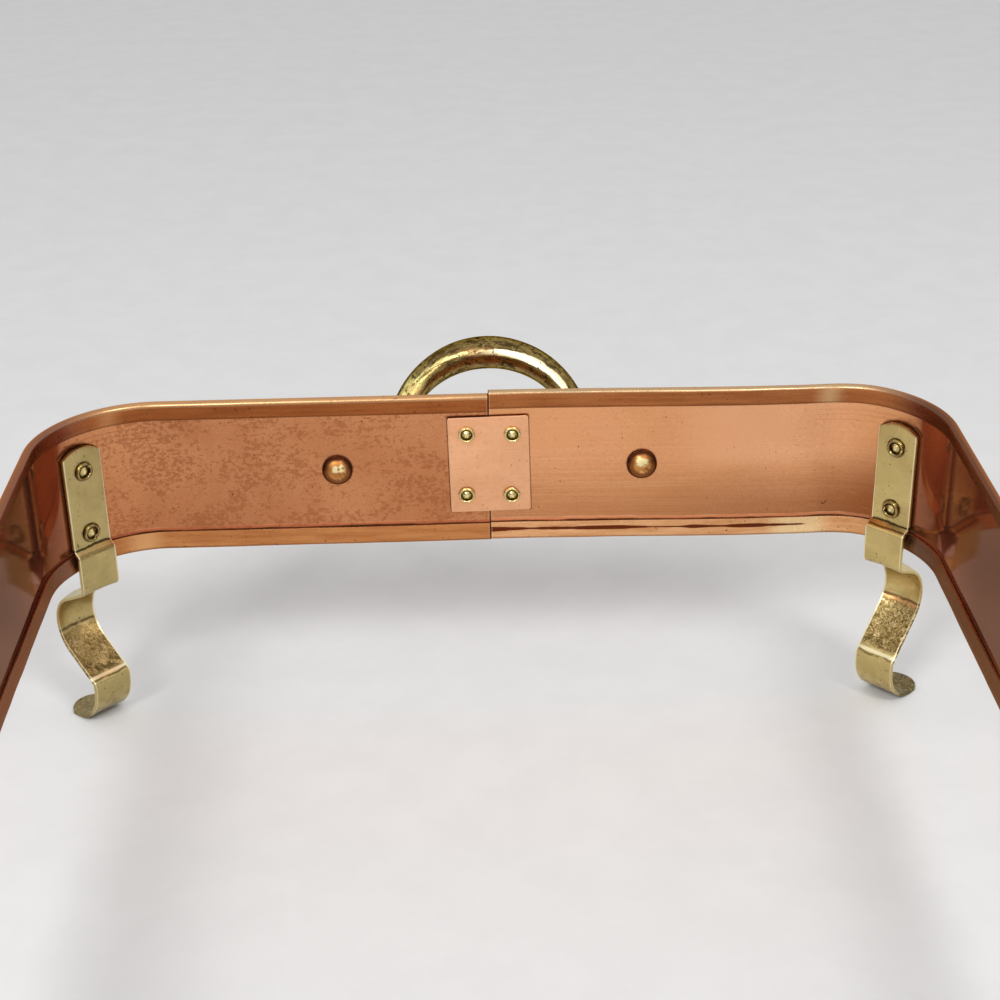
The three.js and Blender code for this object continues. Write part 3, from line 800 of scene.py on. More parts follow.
COPPER_BRIGHT = SimpleNamespace(
    wall=(0.82, 0.385, 0.18), wall_dark=(0.76, 0.35, 0.15), stain=(0.5, 0.19, 0.075),
    deep=(0.28, 0.085, 0.025), shine=(0.92, 0.56, 0.32), hem=(0.86, 0.48, 0.24),
    hem_dark=(0.66, 0.31, 0.12), gleam=(1.0, 0.75, 0.4), rim=(0.44, 0.155, 0.048),
    rim_dark=(0.32, 0.1, 0.028), roll=(0.56, 0.39, 0.22), roll_side=(0.28, 0.1, 0.045),
    side_near=(0.105, 0.047, 0.04), side_far=(0.45, 0.165, 0.105), long_hem=(0.115, 0.06, 0.046),
    low_shade=0.95, fall_start=0.4, fall_near=0.64, stained=0.12, grain=0.12, brushed=0.5, streak=0.97,
    smooth=0.22, lined=0.0, bent=0.3, painted_sheen=0.7, mouth=0.55,
    roll_reach=2.4, gleam_middle=-5, gleam_half=10)


class CopperBand(Paint):
    """Worn copper sheet: a stained or brushed wall, rolled hems with dirty mouths, polished long sides."""

    def __init__(self, name, rim, seed, look):
        super().__init__(name)
        self.look, self.marks = look, band_marks(rim)
        run, self.around, _ = self.surface.parts()
        self.spot = self.place.scaled((1, 1, 1), shift=(seed * 0.37, seed * 0.61, 0))
        self.clouds = self.spot.noise(22, 5, 0.6, 0.6)
        self.blots = self.spot.scaled((1, 1, 1.4)).noise(560, 6, 0.66, 0.2)
        self.grains = self.spot.noise(1900, 3, 0.65)
        self.brushing = self.surface.grain(11, 1500, 6, 0.65)
        self.inside = self.inner_face()
        # How far it is from the nearer seam.
        self.near_end = HALF_RUN - abs(run - HALF_RUN)
        self.seam, self.corner, self.long = (self.near_end.past(place) for place in (0, WALL_RUN, LONG_START))

    def coat_wall(self):
        """Clouds, stains with sharp edges, fine grain, brushing along its length, scratches, a painted sheen
        and painted shade.
        """
        look, near_end = self.look, self.near_end
        specks = self.spot.noise(1200, 3, 0.6)
        patches = self.spot.scaled((1, 1, 1.6)).noise(40, 4, 0.6, 0.5)
        climb = self.around.rise(self.marks.bottom, self.marks.top)
        low = climb.rise(0.35, 0.85, 1.0, 0.3)
        self.stains = (self.blots + patches.rise(0.34, 0.62, -0.08, 0.07)).rise(0.525, 0.6)
        # A painted sheen: lighter high on the wall before the corner.
        painted_sheen = near_end.between(75 * MM, WALL_RUN + 8 * MM, 20 * MM) * climb.rise(0.3, 0.65)
        # Painted shade: darker towards the bottom and past the corner, less near the seam.
        drop = self.corner.rise(-15, 40, 1.0, 1.5) - climb
        low_shade = (drop.rise(look.fall_start, look.fall_start + 1.05)
                * near_end.rise(20 * MM, WALL_RUN - 10 * MM, look.fall_near, 1.0))
        self.colour = self.clouds.rise(0.32, 0.7).mix(look.wall, look.wall_dark)
        self.lay_all(
            (self.stains, look.stain, look.stained),
            (specks.rise(0.58, 0.7), look.shine, look.grain),
            (specks.rise(0.42, 0.32), look.stain, look.grain),
            (self.brushing.rise(0.5, 0.72) * low, look.shine, look.brushed),
            (self.brushing.rise(0.46, 0.3) * low, look.stain, look.brushed),
            (painted_sheen, COPPER.painted_sheen, look.painted_sheen),
            (low_shade, look.deep, look.low_shade),
            (self.spot.dots(850, 0.725, 0.54), COPPER.pit, 0.8),
            (self.surface.dashes(60, 1900, 0.03, 0.6), look.shine, 0.4),
            (self.surface.dashes(130, 2400, 0.06, 0.62), COPPER.scratch, 0.7))

    def coat_bend_lines(self):
        """Faint lines from bending, just below the top hem, clearest in the corners."""
        in_corner = self.near_end.between(WALL_RUN, WALL_RUN + CORNER_RADIUS * 1.5, 7 * MM)
        for below, share in ((3.4, in_corner | self.look.lined), (5.4, in_corner), (7.6, in_corner)):
            line = self.around.past(self.marks.top - below * MM).between(0, 0.4, 0.2) * share
            self.lay(line, self.look.stain, self.look.bent)

    def coat_plate_shade(self):
        """Painted shade round the joint plate, on the inner face."""
        x, _, z = self.place.parts()
        tilted_x = x + (z - PLATE_MIDDLE.z) * tan(PLATE_TILT)
        beyond_x = abs(tilted_x - PLATE_MIDDLE.x) - PLATE.width / 2
        beyond_z = abs(z - PLATE_MIDDLE.z) - PLATE.height / 2
        near_plate = (beyond_x | beyond_z).past().rise(0.15, 0.65, 1, 0) * self.inside
        self.lay(near_plate, COPPER.plate_shade, 0.7)

    def coat_hems(self):
        """Their faces, a painted reflection on the roll at the top, and painted highlights before each
        corner.
        """
        look, near_end, around = self.look, self.near_end, self.around
        roll = around.past(self.marks.roll)
        uneven = self.surface.grain(38, 420, 5, 0.65)
        hem_low = around.past(self.marks.bottom).rise(-3.2, -2.8, 1.0, 0.0)
        hem_high = around.past(self.marks.top).rise(1.1, 1.6)
        # Painted highlights: a gleam on the low hem and a glint on the top hem, before each corner.
        middle = near_end.past(WALL_RUN + look.gleam_middle * MM)
        gleam = middle.between(-look.gleam_half, look.gleam_half, 5)
        glint = middle.between(6, 13, 4)
        for hem, fair, dark, bright, strength in ((hem_low, look.hem, look.hem_dark, gleam, 0.85),
                                                  (hem_high, look.rim, look.rim_dark, glint, 0.4)):
            face = uneven.rise(0.35, 0.68).mix(fair, dark)
            self.lay(hem, face.under(bright, look.gleam, strength), 0.94)
        self.hems = hem_low | hem_high
        # A painted reflection on the roll at the top, darker towards the long sides.
        top = uneven.rise(0.3, 0.7).mix(look.roll, tuple(part * 0.8 for part in look.roll))
        top = top.under(near_end.rise(WALL_RUN + 10 * MM, LONG_START + 10 * MM), look.roll_side, 0.9)
        self.lay(roll.between(-0.9, look.roll_reach, 0.4), top, 0.95)
        # A dark line along the roll's outer edge.
        self.lay(roll.between(-1.5, -0.8, 0.2), COPPER.roll_edge_line, 0.8)

    def coat_streak(self):
        """A polished dark streak along the low hem near the seam, with a few gaps."""
        width = self.surface.grain(36, 1, 3).rise(0.36, 0.6, 0.15 * MM, 0.8 * MM)
        width = width + self.seam.rise(2, 20, 0.45 * MM, 0) + self.seam.rise(105, 148, 0, -0.95 * MM)
        smear = (abs(self.around - 2.8 * MM) - width).past().rise(-0.15, 0.15, 1, 0)
        self.lay(smear, COPPER.streak, self.look.streak)

    def coat_mouths(self):
        """Painted light above the low hem's mouth, grime and painted shade in it, painted shade in the top
        hem's mouth and on the low fold, notched cut edges and bruised hems.
        """
        look, around, marks = self.look, self.around, self.marks
        level = around + self.surface.grain(45, 45, 3, 0.6).rise(0.3, 0.7, -0.25 * MM, 0.25 * MM)
        low, high = level.past(marks.bottom), level.past(marks.top)
        # Grime and painted shade for the low hem's mouth, nearly black along the long sides.
        grime_and_shade = self.near_end.rise(WALL_RUN + 8 * MM, LONG_START).mix(COPPER.grime_and_shade, COPPER.side_grime_and_shade)
        notches = self.surface.grain(900, 40, 2).rise(0.46, 0.54)
        self.lay_all(
            # Painted light just above the low hem's mouth, then grime and painted shade inside it, and
            # painted shade in the top hem's mouth.
            (low.between(0.2, 1.5, 0.4), look.shine, look.mouth),
            (low.between(-4.5, 0.2, 0.3) * self.inside, grime_and_shade, 0.95),
            (high.between(-0.35, 1.0, 0.3) * self.inside, COPPER.top_mouth, 0.75),
            # A darker line along the top hem's cut edge.
            (around.past(marks.end).rise(-1.0, -0.6), COPPER.lip_line, 0.45),
            # Painted shade on the low hem's lower fold.
            (around.past(HEM.low_height).between(-1.0, 1.5, 0.4), COPPER.fold_shade, 0.65),
            (around.past().rise(0.1, 0.45, 1, 0) * notches, look.shine, 0.35),
            (self.spot.dots(700, 0.69, 0.5) * self.hems, COPPER.bruise, 0.7))

    def coat_cut_ends(self):
        """The cut ends at the seams: a painted highlight on the broken edge beside a dark line."""
        self.lay(self.seam.between(0.25, 0.6, 0.12), self.look.shine, 0.25)
        self.lay(self.seam.rise(0.1, 0.3, 1, 0), COPPER.cut, 0.95)

    def coat_long_sides(self):
        """The long side walls are polished and dark."""
        look, long = self.look, self.long
        on_wall = self.around.between(self.marks.bottom, self.marks.top, 0.6 * MM)
        self.polished = long.rise(-8, 4) * on_wall * self.inside
        self.lay(long.rise(-22, 10) * self.hems * self.inside, look.long_hem, 0.88)
        side = long.rise(5, 75).mix(look.side_far, look.side_near)
        side = side.under(self.clouds.rise(0.35, 0.66), COPPER.side_cloud, 0.35)
        side = side.under(self.corner.between(36, 60, 7), COPPER.side_glow, 0.8)
        side = side.under(self.surface.dashes(80, 1300, 0.5, 0.56), COPPER.side_scratch, 0.8)
        side = side.under(self.spot.dots(700, 0.69, 0.5), COPPER.side_pit, 0.7)
        self.lay(self.polished, side, 0.95)

    def polish(self):
        """The wall's gloss and relief, which fade on the polished sides, and a dull low hem and cut ends."""
        look, polished, dull = self.look, self.polished, self.around.past(self.marks.bottom)
        worn = polished.rise(0, 1, 1.0, 0.2)
        roughness = self.clouds.rise(0.3, 0.7, look.smooth, look.smooth + 0.1)
        roughness = roughness + self.stains.rise(0, 1, 0, 0.08) + self.grains.rise(0.3, 0.7, -0.03, 0.05)
        roughness = roughness * polished.rise(0, 1, 1.0, 0.3) + self.seam.rise(0.05, 0.25, 0.6, 0)
        roughness = roughness + worn * dull.between(-5, 1.2, 0.6)
        self.bumps((self.clouds * worn, 0.2, 0.7), (self.blots * worn, 0.1, 0.1),
                   (self.brushing * worn, 0.16, 0.05), (self.grains * worn, 0.12, 0.04))
        return self.finish(roughness, polished.rise(0, 1, 1.0, 0.84), COPPER.tint)


def copper_band(name, rim, seed, look):
    paint = CopperBand(name, rim, seed, look)
    for coat in (paint.coat_wall, paint.coat_bend_lines, paint.coat_plate_shade, paint.coat_hems,
                 paint.coat_streak, paint.coat_mouths, paint.coat_cut_ends, paint.coat_long_sides):
        coat()
    return paint.polish()


def copper_plate():
    """Cleaner, paler copper sheet, with a painted highlight on its broken edges and painted shade on its
    sheared sides.
    """
    paint = Paint("copper_plate")
    rise, place = paint.surface.parts()[0], paint.place
    clouds = place.noise(60, 5, 0.6, 0.5)
    lines = place.scaled((60, 60, 2600)).noise(1, 4, 0.6)
    broken = rise.between(PLATE.thickness - PLATE.edge * 1.1, PLATE.thickness - PLATE.edge * 0.1, 0.03 * MM)
    scratches = place.scaled((1, 1, 1), turn=(QUARTER, 0, 0)).dashes(120, 1500, 0.3, 0.6)
    paint.colour = clouds.rise(0.3, 0.7).mix((0.93, 0.5, 0.275), (0.82, 0.42, 0.22))
    paint.lay_all(
        (place.noise(520, 4, 0.6, 0.4).rise(0.52, 0.66), (0.74, 0.37, 0.19), 0.45),
        (lines.rise(0.52, 0.72), (0.98, 0.66, 0.44), 0.3),
        (place.dots(700, 0.7, 0.5), (0.3, 0.12, 0.06), 0.8),
        (scratches, (0.99, 0.74, 0.55), 0.6),
        # A painted highlight on the broken edge, and painted shade on the sheared side below it.
        (broken, (0.98, 0.68, 0.46), 0.8),
        (rise.past().rise(0.55, 0.72, 1, 0), (0.1, 0.035, 0.015), 0.9))
    paint.bumps((clouds, 0.2, 0.5), (lines, 0.12, 0.04), (place.noise(1900, 3, 0.65), 0.15, 0.04))
    return paint.finish(clouds.rise(0.3, 0.7, 0.34, 0.44), tint=(0.95, 0.78, 0.66))


BRASS = SimpleNamespace(
    pit=(0.1, 0.07, 0.025), ring_line=(0.07, 0.05, 0.02), splash=(0.13, 0.09, 0.035),
    joggle=(0.03, 0.02, 0.007), groove_shade=(0.05, 0.032, 0.011), golden_reflection=(0.5, 0.31, 0.08), red=(0.55, 0.25, 0.1),
    brown=(0.16, 0.1, 0.032), patch_highlight=(0.6, 0.42, 0.19), fleck=(0.05, 0.032, 0.01),
    banded=(0.17, 0.105, 0.03), mottle=(0.1, 0.07, 0.022), crease=(0.08, 0.048, 0.016),
    sole=(0.26, 0.19, 0.075), stain=(0.22, 0.15, 0.055), fringe=(0.34, 0.16, 0.06))
STRAP_LEFT = SimpleNamespace(
    light=(0.52, 0.415, 0.18), dark=(0.43, 0.34, 0.14), shine=(0.93, 0.84, 0.56), tan=(0.39, 0.245, 0.085),
    toe_shade=(0.06, 0.05, 0.022), toe=0.75, dirt=0.35, groove_shade=0.5, red=0.15, flecks=0.3, patch_highlight=0.6,
    patch=0.9, mottles=0.92, fringe=0.45, banded=0.6)
STRAP_RIGHT = SimpleNamespace(
    light=(0.63, 0.49, 0.2), dark=(0.54, 0.41, 0.165), shine=(0.93, 0.84, 0.55), tan=(0.4, 0.29, 0.11),
    toe_shade=(0.03, 0.027, 0.012), toe=0.9, dirt=0.85, groove_shade=0.85, red=0.8, flecks=0.65, patch_highlight=0.25,
    patch=0.9, mottles=0.45, fringe=0.85, banded=0.1)


class BrassStrap(Paint):
    """Aged brass strap: olive clouds, painted highlights on its edges, painted shade in its bends, dirt round
    rivets, a mottled patch.
    """

    def __init__(self, name, marks, seed, look):
        super().__init__(name)
        self.look, self.marks = look, marks
        self.run, self.around, _ = self.surface.parts()
        self.spot = self.place.scaled((1, 1, 1), shift=(seed * 0.23, seed * 0.41, 0))
        self.clouds = self.spot.noise(60, 5, 0.6, 0.8)
        self.blots = self.spot.noise(260, 5, 0.65, 0.6)
        self.leather = self.spot.noise(560, 5, 0.72, 1.6)
        drift = self.surface.grain(60, 150, 3, 0.6)
        self.swayed = self.run + drift.rise(0.3, 0.7, -0.35 * MM, 0.35 * MM)
        self.ragged = self.run + self.blots.rise(0.25, 0.75, -0.7 * MM, 0.7 * MM)
        self.half = STRAP.width / 2 - STRAP.edge
        self.across = self.around - self.half

    def coat_brass(self):
        look = self.look
        self.colour = self.clouds.rise(0.35, 0.68).mix(look.light, look.dark)
        self.lay_all(
            (self.blots.rise(0.57, 0.72), look.dark, 0.45),
            (self.spot.dots(950, 0.69, 0.48), BRASS.pit, 0.8),
            (self.surface.dashes(150, 2200, 0.25, 0.58), look.shine, 0.6))

    def coat_rivets(self):
        """A dark line round each rivet's ring, and dirt round the two rivets, in patches."""
        for rivet in self.marks.rivets:
            reach = (self.run - rivet).hypot(self.across)
            self.lay(reach.past(STRAP.ring / 2).between(-0.5, 0.35, 0.2), BRASS.ring_line, 0.75)
            splash = reach.past().rise(3.2, 6.4, 1, 0) * self.leather.rise(0.56, 0.62)
            self.lay(splash, BRASS.splash, self.look.dirt)

    def coat_joggle(self):
        """Painted shade in its bends, a dark line in the upper one and a brown line below, and a light crest.
        """
        joggle, below = self.marks.joggle, self.marks.joggle + 1.25 * LEG.joggle_length
        crest = self.run.between(joggle + 0.3 * MM, joggle + 2 * LEG.joggle_length, 0.3 * MM)
        self.lay_all(
            (crest, self.look.tan, 0.5),
            # Painted shade: a dark line in the upper bend and a brown line in the lower one.
            (self.swayed.past(joggle).between(-0.9, 0.7, 0.3), BRASS.joggle, 0.93),
            (self.swayed.past(below).between(0, 0.9, 0.3), BRASS.groove_shade, self.look.groove_shade))

    def coat_shoulder(self):
        """A painted golden reflection in the shoulder, then two creases with painted shade hold a mottled
        brown patch between them, with a painted highlight along its middle.
        """
        look, marks, leather, ragged = self.look, self.marks, self.leather, self.ragged
        first, second = marks.first, marks.second
        # A painted golden reflection inside the shoulder's dish.
        golden_reflection = ragged.between(marks.knee + 4 * MM, first - 2 * MM, 2 * MM) * self.clouds.rise(0.42, 0.6)
        self.lay(golden_reflection, BRASS.golden_reflection, 0.6)
        self.lay(ragged.past(first).between(-0.5, 2.6, 0.5), BRASS.red, look.red)
        self.patch = ragged.between(first + 1.2 * MM, second - 3.2 * MM, 0.8 * MM)
        centre = abs(self.across).rise(1.5 * MM, self.half, 1, 0)
        tan = leather.rise(0.44, 0.56).mix(look.tan, BRASS.brown)
        # A painted highlight along the middle of the patch.
        tan = tan.under(centre * self.clouds.rise(0.35, 0.6), BRASS.patch_highlight, look.patch_highlight)
        tan = tan.under(leather.rise(0.43, 0.37), look.shine, look.flecks)
        tan = tan.under(leather.rise(0.53, 0.58), BRASS.fleck, look.flecks + 0.25)
        # Painted shade next to the first crease.
        tan = tan.under(ragged.past(first).rise(9, 2), BRASS.banded, look.banded)
        mottles = self.run.past(second).between(-8, -2, 2) * self.blots.rise(0.47, 0.53)
        self.lay(self.patch, tan, look.patch)
        self.lay(mottles, BRASS.mottle, look.mottles)
        # A painted highlight on the bend just before the second crease.
        self.lay(self.run.past(second).between(-1.9, -0.5, 0.3), look.shine, 0.8)
        broken = self.surface.grain(40, 260, 3, 0.6).rise(0.3, 0.5, 0.35, 1.0)
        # Painted shade in the two creases.
        for crease, width in ((first, 0.5), (second, 0.35)):
            line = self.swayed.past(crease).between(-width, width, 0.45) * broken
            self.lay(line, BRASS.crease, 0.85)

    def coat_ends(self):
        """The toe is painted dark, as shaded, mottled with dark grey; the top is fringed with copper-red; and
        the long edges carry a painted highlight.
        """
        look, toe = self.look, self.marks.toe
        self.toe = self.ragged.past(toe).rise(-24, -16)
        sole = self.leather.rise(0.47, 0.6).mix(look.toe_shade, BRASS.sole)
        stain = self.run.past(toe).rise(-34, -20) * self.blots.rise(0.5, 0.6)
        frayed = self.run + self.leather.rise(0.25, 0.75, -0.55 * MM, 0.55 * MM)
        edge = abs(self.across).past(self.half).between(-0.3, 1.3, 0.2)
        self.lay_all(
            # Painted shade on the toe, mottled with dark grey.
            (self.toe, sole, look.toe),
            (stain, BRASS.stain, 0.6),
            (frayed.past().rise(0.2, 1.3, 1, 0), BRASS.fringe, look.fringe),
            # A painted highlight on the long edges.
            (edge, look.shine, 0.88))

    def polish(self):
        roughness = self.clouds.rise(0.3, 0.7, 0.26, 0.38) + self.patch.rise(0, 1, 0, 0.08)
        self.bumps((self.clouds, 0.3, 0.6), (self.blots, 0.12, 0.2), (self.leather * self.patch, 0.5, 0.25),
                   (self.spot.noise(1900, 3, 0.65), 0.12, 0.04))
        return self.finish(roughness + self.toe.rise(0, 1, 0, 0.2))


def brass_strap(name, marks, seed, look):
    paint = BrassStrap(name, marks, seed, look)
    for coat in (paint.coat_brass, paint.coat_rivets, paint.coat_joggle, paint.coat_shoulder,
                 paint.coat_ends):
        coat()
    return paint.polish()


def brass_rivet(name, ring, roll, button, bright, dull):
    """Brass, dark in the hollow, with a painted highlight on the button's tip: the profile runs over the
    button, the hollow and the rolled ring.
    """
    paint = Paint(name)
    run, place = paint.surface.parts()[0], paint.place
    marks = rivet_marks(ring, roll)
    clouds = place.noise(420, 4, 0.6, 0.5)
    blots = place.noise(1100, 4, 0.65, 0.5)
    hollow = run.between(marks.button - 0.12 * MM, marks.hollow + 0.28 * MM, 0.16 * MM)
    paint.colour = clouds.rise(0.35, 0.7).mix(bright, dull)
    paint.lay_all(
        (run.past(marks.button).rise(-0.1, 0.1, 1, 0), button, 0.9),
        # A painted highlight on the button's tip.
        (run.past().rise(0.35, 1.25, 1, 0), (0.96, 0.86, 0.52), 0.85),
        (blots.rise(0.56, 0.66), tuple(part * 0.5 for part in dull), 0.3),
        (hollow, (0.035, 0.026, 0.01), 0.95),
        (run.past(marks.ring).rise(-0.5, -0.2), (0.07, 0.05, 0.02), 0.85))
    paint.bumps((clouds, 0.2, 0.1), (place.noise(2600, 3, 0.6), 0.12, 0.03))
    return paint.finish(clouds.rise(0.3, 0.7, 0.16, 0.24))


def brass_cast():
    """Dark, handled cast brass: an olive-brown skin, speckled, with painted shade along its top, painted
    light on its underside and painted highlights along the bar and at one foot.
    """
    paint = Paint("brass_cast")
    (run, around, _), place = paint.surface.parts(), paint.place
    clouds = place.noise(75, 6, 0.65, 1.0)
    blots = paint.surface.grain(130, 420, 5, 0.7, 0.6)
    specks = paint.surface.grain(420, 1500, 4, 0.7)
    # A painted highlight along a line inward and up, which wanders and breaks up to one side.
    crown = run.past()
    line = crown.rise(0, 32, 0.672 * GIRTH, 0.755 * GIRTH) + crown.rise(0, -36, 0, 0.045 * GIRTH)
    away = abs(around + blots.rise(0.3, 0.7, -0.5 * MM, 0.5 * MM) - line) + crown.rise(-12, 12, 0, 0.95 * MM)
    sparse = specks + crown.rise(-8, 10, -0.06, 0.05)
    highlight_line = away.past().rise(1.1, 1.9, 1, 0) * sparse.rise(0.64, 0.54)
    bright = crown.rise(-8, 10).mix((0.95, 0.86, 0.55), (0.8, 0.67, 0.27))
    # A painted highlight at one foot.
    foot = (crown.rise(28, 36) * specks.rise(0.6, 0.48)
            * around.between(0.62 * GIRTH, 0.86 * GIRTH, 1.5 * MM))
    paint.colour = clouds.rise(0.36, 0.66).mix((0.26, 0.183, 0.062), (0.14, 0.088, 0.03))
    paint.lay_all(
        # Painted shade along the top of the bar.
        (around.rise(0.82 * GIRTH, 0.93 * GIRTH), (0.065, 0.042, 0.016), 0.75),
        # Painted light on the underside.
        (around.between(0.44 * GIRTH, 0.61 * GIRTH, 0.03 * GIRTH), (0.4, 0.29, 0.11), 0.75),
        (blots.rise(0.47, 0.57), (0.05, 0.03, 0.012), 0.85),
        (specks.rise(0.56, 0.64), (0.56, 0.43, 0.16), 0.7),
        (highlight_line, bright, 0.95),
        (foot, (0.95, 0.82, 0.32), 0.9),
        (place.dots(620, 0.62, 0.44), (0.03, 0.02, 0.01), 0.85),
        (place.noise(48, 3).rise(0.6, 0.7), (0.3, 0.12, 0.05), 0.4))
    paint.bumps((clouds, 0.25, 0.5), (blots, 0.25, 0.2), (specks, 0.2, 0.08),
                (place.noise(1800, 4, 0.6), 0.12, 0.05))
    roughness = clouds.rise(0.3, 0.7, 0.2, 0.28) + blots.rise(0.45, 0.65, 0, 0.1)
    polish = highlight_line.rise(0, 1, 0, 0.08) + foot.rise(0, 1, 0, 0.22)
    return paint.finish(roughness + polish, tint=(0.5, 0.42, 0.26))


def bronze_dome():
    """Polished reddish bronze, with painted shade round its foot, two painted highlight lobes above and a
    painted red glint below.
    """
    paint = Paint("bronze_dome")
    run, place = paint.surface.parts()[0], paint.place
    height = place.parts()[2] - (BAND_DROP + HANDLE.rise)
    across = abs(place.parts()[0]) - DOME.middle
    clouds = place.noise(240, 5, 0.6, 0.8)
    ragged = clouds.rise(0.3, 0.7, -0.5 * MM, 0.5 * MM)
    lobes = (abs(across) - 1.0 * MM).hypot(height - 1.4 * MM) + ragged
    foot = across.hypot(height + 3.4 * MM) + ragged
    paint.colour = clouds.rise(0.35, 0.68).mix((0.6, 0.29, 0.085), (0.45, 0.19, 0.05))
    paint.lay_all(
        # Painted highlights: two bright lobes above the middle.
        (lobes.past().rise(2.0, 0.9), (0.99, 0.84, 0.44), 0.92),
        # A painted red glint below.
        (foot.past().rise(1.4, 0.8), (0.8, 0.44, 0.2), 0.7),
        # Painted shade: a darker ring towards the foot and a dark outline at it.
        ((run - height * 0.25).rise(0.24 * DOME.diameter, 0.36 * DOME.diameter), (0.21, 0.065, 0.018), 0.88),
        (run.rise(0.38 * DOME.diameter, 0.48 * DOME.diameter), (0.06, 0.024, 0.011), 0.92),
        (place.dots(700, 0.64, 0.42), (0.16, 0.06, 0.025), 0.7))
    paint.bumps((clouds, 0.25, 0.2), (place.noise(2200, 3, 0.6), 0.12, 0.03))
    return paint.finish(clouds.rise(0.3, 0.7, 0.34, 0.44))


def studio_floor():
    paint = Paint("studio_floor")
    paint.colour = paint.place.noise(40, 3, 0.6).rise(0.3, 0.7).mix((0.8, 0.8, 0.8), (0.775, 0.775, 0.775))
    return paint.finish(0.9, 0.0)


# The stand

def build_band():
    halves = (("left", -1, LEFT_LOW, LEFT_HIGH, 1, "copper_dark", COPPER_DARK),
              ("right", 1, RIGHT_LOW, RIGHT_HIGH, 4, "copper_bright", COPPER_BRIGHT))
    for hand, side, low, high, seed, slot, look in halves:
        node = f"band_half_{hand}"
        piece = band_half(f"look_{node}", side, low, high, seed)
        stand_for(piece, copper_band(slot, high.z - low.z, seed, look), node, slot)


def build_joint(end, back, plate_look, rivet_look):
    node = f"joint_plate_{end}"
    stand_for(joint_plate(f"look_{node}", node, back), plate_look, node, "copper_plate")
    grip = 3 * FIT + SHEET + PLATE.thickness
    face = back * (HALF_LENGTH + FIT - grip)
    for index, place in enumerate(("left_lower", "left_upper", "right_lower", "right_upper")):
        node = f"joint_rivet_{end}_{place}"
        middle = node_box(node)[2]
        matrix = facing(Vector((middle.x, face, middle.z)), Vector((0, -back, 0)))
        piece = tubular_rivet(f"look_{node}", matrix, grip, PLATE.ring, PLATE.roll, 1.1 * index,
                              PLATE_SPLIT, index + 3)
        stand_for(piece, rivet_look, node, "brass_rivet")


def build_handle(end, back, cast_look, dome_look):
    node = f"handle_{end}"
    stand_for(handle(f"look_{node}", back, back), cast_look, node, "brass_cast")
    grip = 3 * FIT + SHEET + PAD.thickness
    face = back * (HALF_LENGTH - SHEET - FIT)
    for hand, (across, up) in DOME_SHIFTS.items():
        node = f"handle_rivet_{end}_{hand}"
        middle = node_box(node)[2]
        matrix = facing(Vector((middle.x + across, face, middle.z + up)), Vector((0, -back, 0)))
        stand_for(handle_rivet(f"look_{node}", matrix, grip), dome_look, node, "bronze_dome")


def build_leg(end, hand, back, left, strap_look, rivet_look):
    seed = 5 * back + left
    node = f"leg_{end}_{hand}"
    stand_for(strap_leg(f"look_{node}", left, back, seed), strap_look, node, "brass_strap")
    corner, out = corner_frame(left, back)
    grip = 2 * FIT - STRAP_SEAT + STRAP.thickness / 2
    lift = LEG.step if left > 0 else 0
    for level, height in (("lower", STRAP.low_rivet), ("upper", STRAP.low_rivet + STRAP.rivet_pitch)):
        node = f"leg_rivet_{end}_{hand}_{level}"
        place = corner + out * (FIT - grip) + Vector((0, 0, height + lift))
        piece = tubular_rivet(f"look_{node}", facing(place, -out), grip, STRAP.ring, STRAP.roll,
                              STRAP_SPLITS[hand, level], STRAP_SPLIT, seed + height / MM)
        stand_for(piece, rivet_look, node, "brass_rivet")


def build_stand():
    build_band()
    plate_look, cast_look, dome_look = copper_plate(), brass_cast(), bronze_dome()
    gold_look = brass_rivet("brass_rivet_gold", PLATE.ring, PLATE.roll, (0.58, 0.45, 0.15),
                            (0.8, 0.64, 0.29), (0.66, 0.5, 0.2))
    olive_look = brass_rivet("brass_rivet_olive", STRAP.ring, STRAP.roll, (0.58, 0.45, 0.17),
                             (0.38, 0.29, 0.11), (0.22, 0.16, 0.06))
    hands = (("left", -1, brass_strap("brass_strap_left", strap_marks(-1), 1, STRAP_LEFT)),
             ("right", 1, brass_strap("brass_strap_right", strap_marks(1), 2, STRAP_RIGHT)))
    for end, back in (("back", 1), ("front", -1)):
        build_joint(end, back, plate_look, gold_look)
        build_handle(end, back, cast_look, dome_look)
        for hand, left, strap_look in hands:
            build_leg(end, hand, back, left, strap_look, olive_look)


# Studio

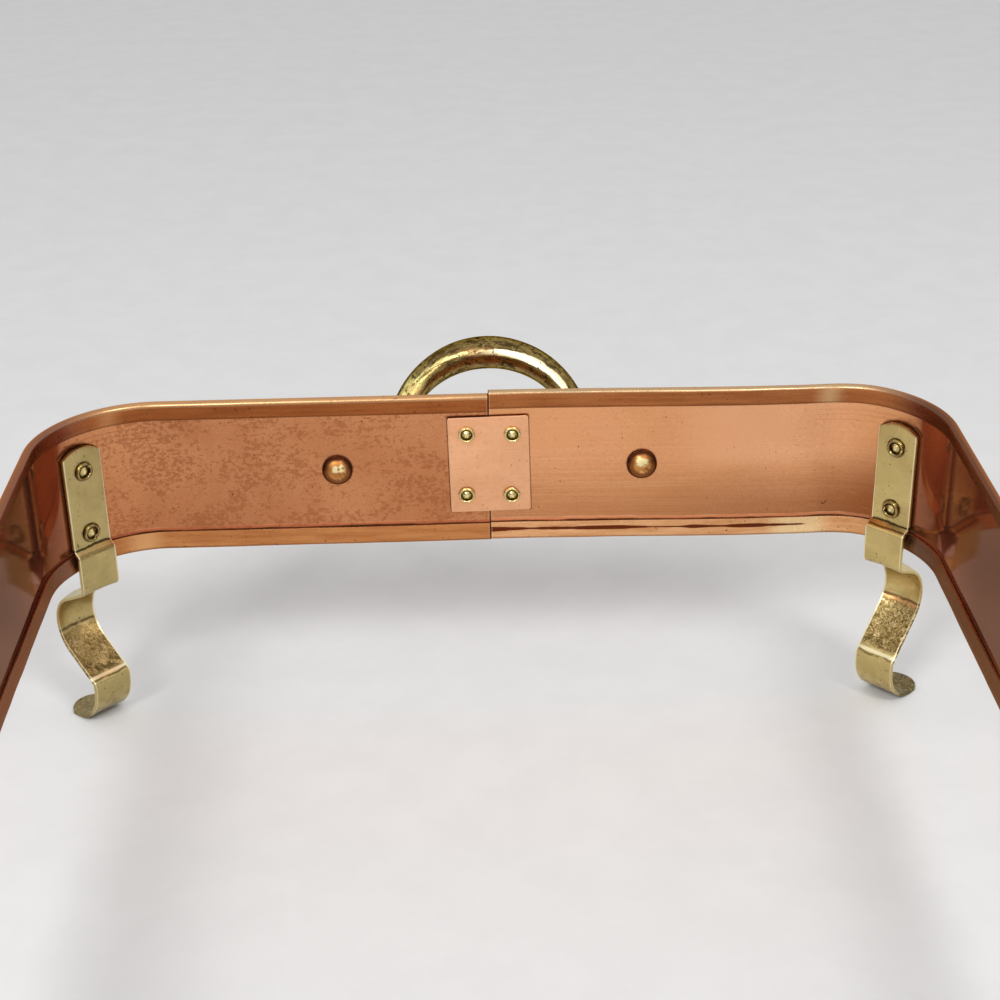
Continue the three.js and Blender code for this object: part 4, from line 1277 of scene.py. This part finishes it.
def build_floor():
    mesh = bpy.data.meshes.new("studio_floor")
    corners = [(x * FLOOR_REACH, y * FLOOR_REACH, 0) for x, y in ((-1, -1), (1, -1), (1, 1), (-1, 1))]
    mesh.from_pydata(corners, [], [(0, 1, 2, 3)])
    mesh.materials.append(studio_floor())
    linked("studio_floor", mesh)


def build_world():
    """An even room light; what the camera and the metal see behind it is white."""
    graph = Graph(bpy.data.worlds.new("studio"), "Background")
    bpy.context.scene.world = graph.owner
    camera, glossy, through = (graph.node("ShaderNodeLightPath", output=f"Is {kind} Ray")
                               for kind in ("Camera", "Glossy", "Transmission"))
    graph.feed(graph.sockets["Strength"], 1)
    graph.feed(graph.sockets["Color"], (camera | glossy | through).mix((ROOM_LIGHT,) * 3, (1, 1, 1)))


def softbox(name, place, width, depth, watts):
    data = bpy.data.lights.new(name, "AREA")
    data.shape = "RECTANGLE"
    data.size, data.size_y, data.energy = width, depth, watts
    lamp = linked(name, data)
    lamp.location = place
    lamp.rotation_euler = (LAMP_TARGET - Vector(place)).to_track_quat("-Z", "Y").to_euler()


def build_camera():
    data = bpy.data.cameras.new("camera")
    data.sensor_width = SENSOR
    data.lens = SENSOR * FOCAL_PIXELS / FRAME_PIXELS
    ahead = Vector((sin(CAMERA_YAW) * cos(CAMERA_PITCH),
                    cos(CAMERA_YAW) * cos(CAMERA_PITCH), -sin(CAMERA_PITCH)))
    right = Vector((cos(CAMERA_YAW), -sin(CAMERA_YAW), 0))
    up = right.cross(ahead)
    across = cos(CAMERA_ROLL) * right + sin(CAMERA_ROLL) * up
    above = -sin(CAMERA_ROLL) * right + cos(CAMERA_ROLL) * up
    camera = linked("camera", data)
    turn = Matrix((across, above, -ahead)).transposed().to_4x4()
    camera.matrix_world = Matrix.Translation(CAMERA_PLACE) @ turn
    bpy.context.scene.camera = camera


def build_studio():
    build_floor()
    build_world()
    for lamp in LAMPS:
        softbox(*lamp)
    bpy.context.scene.view_settings.view_transform = "Standard"


build_camera()
build_stand()
build_studio()
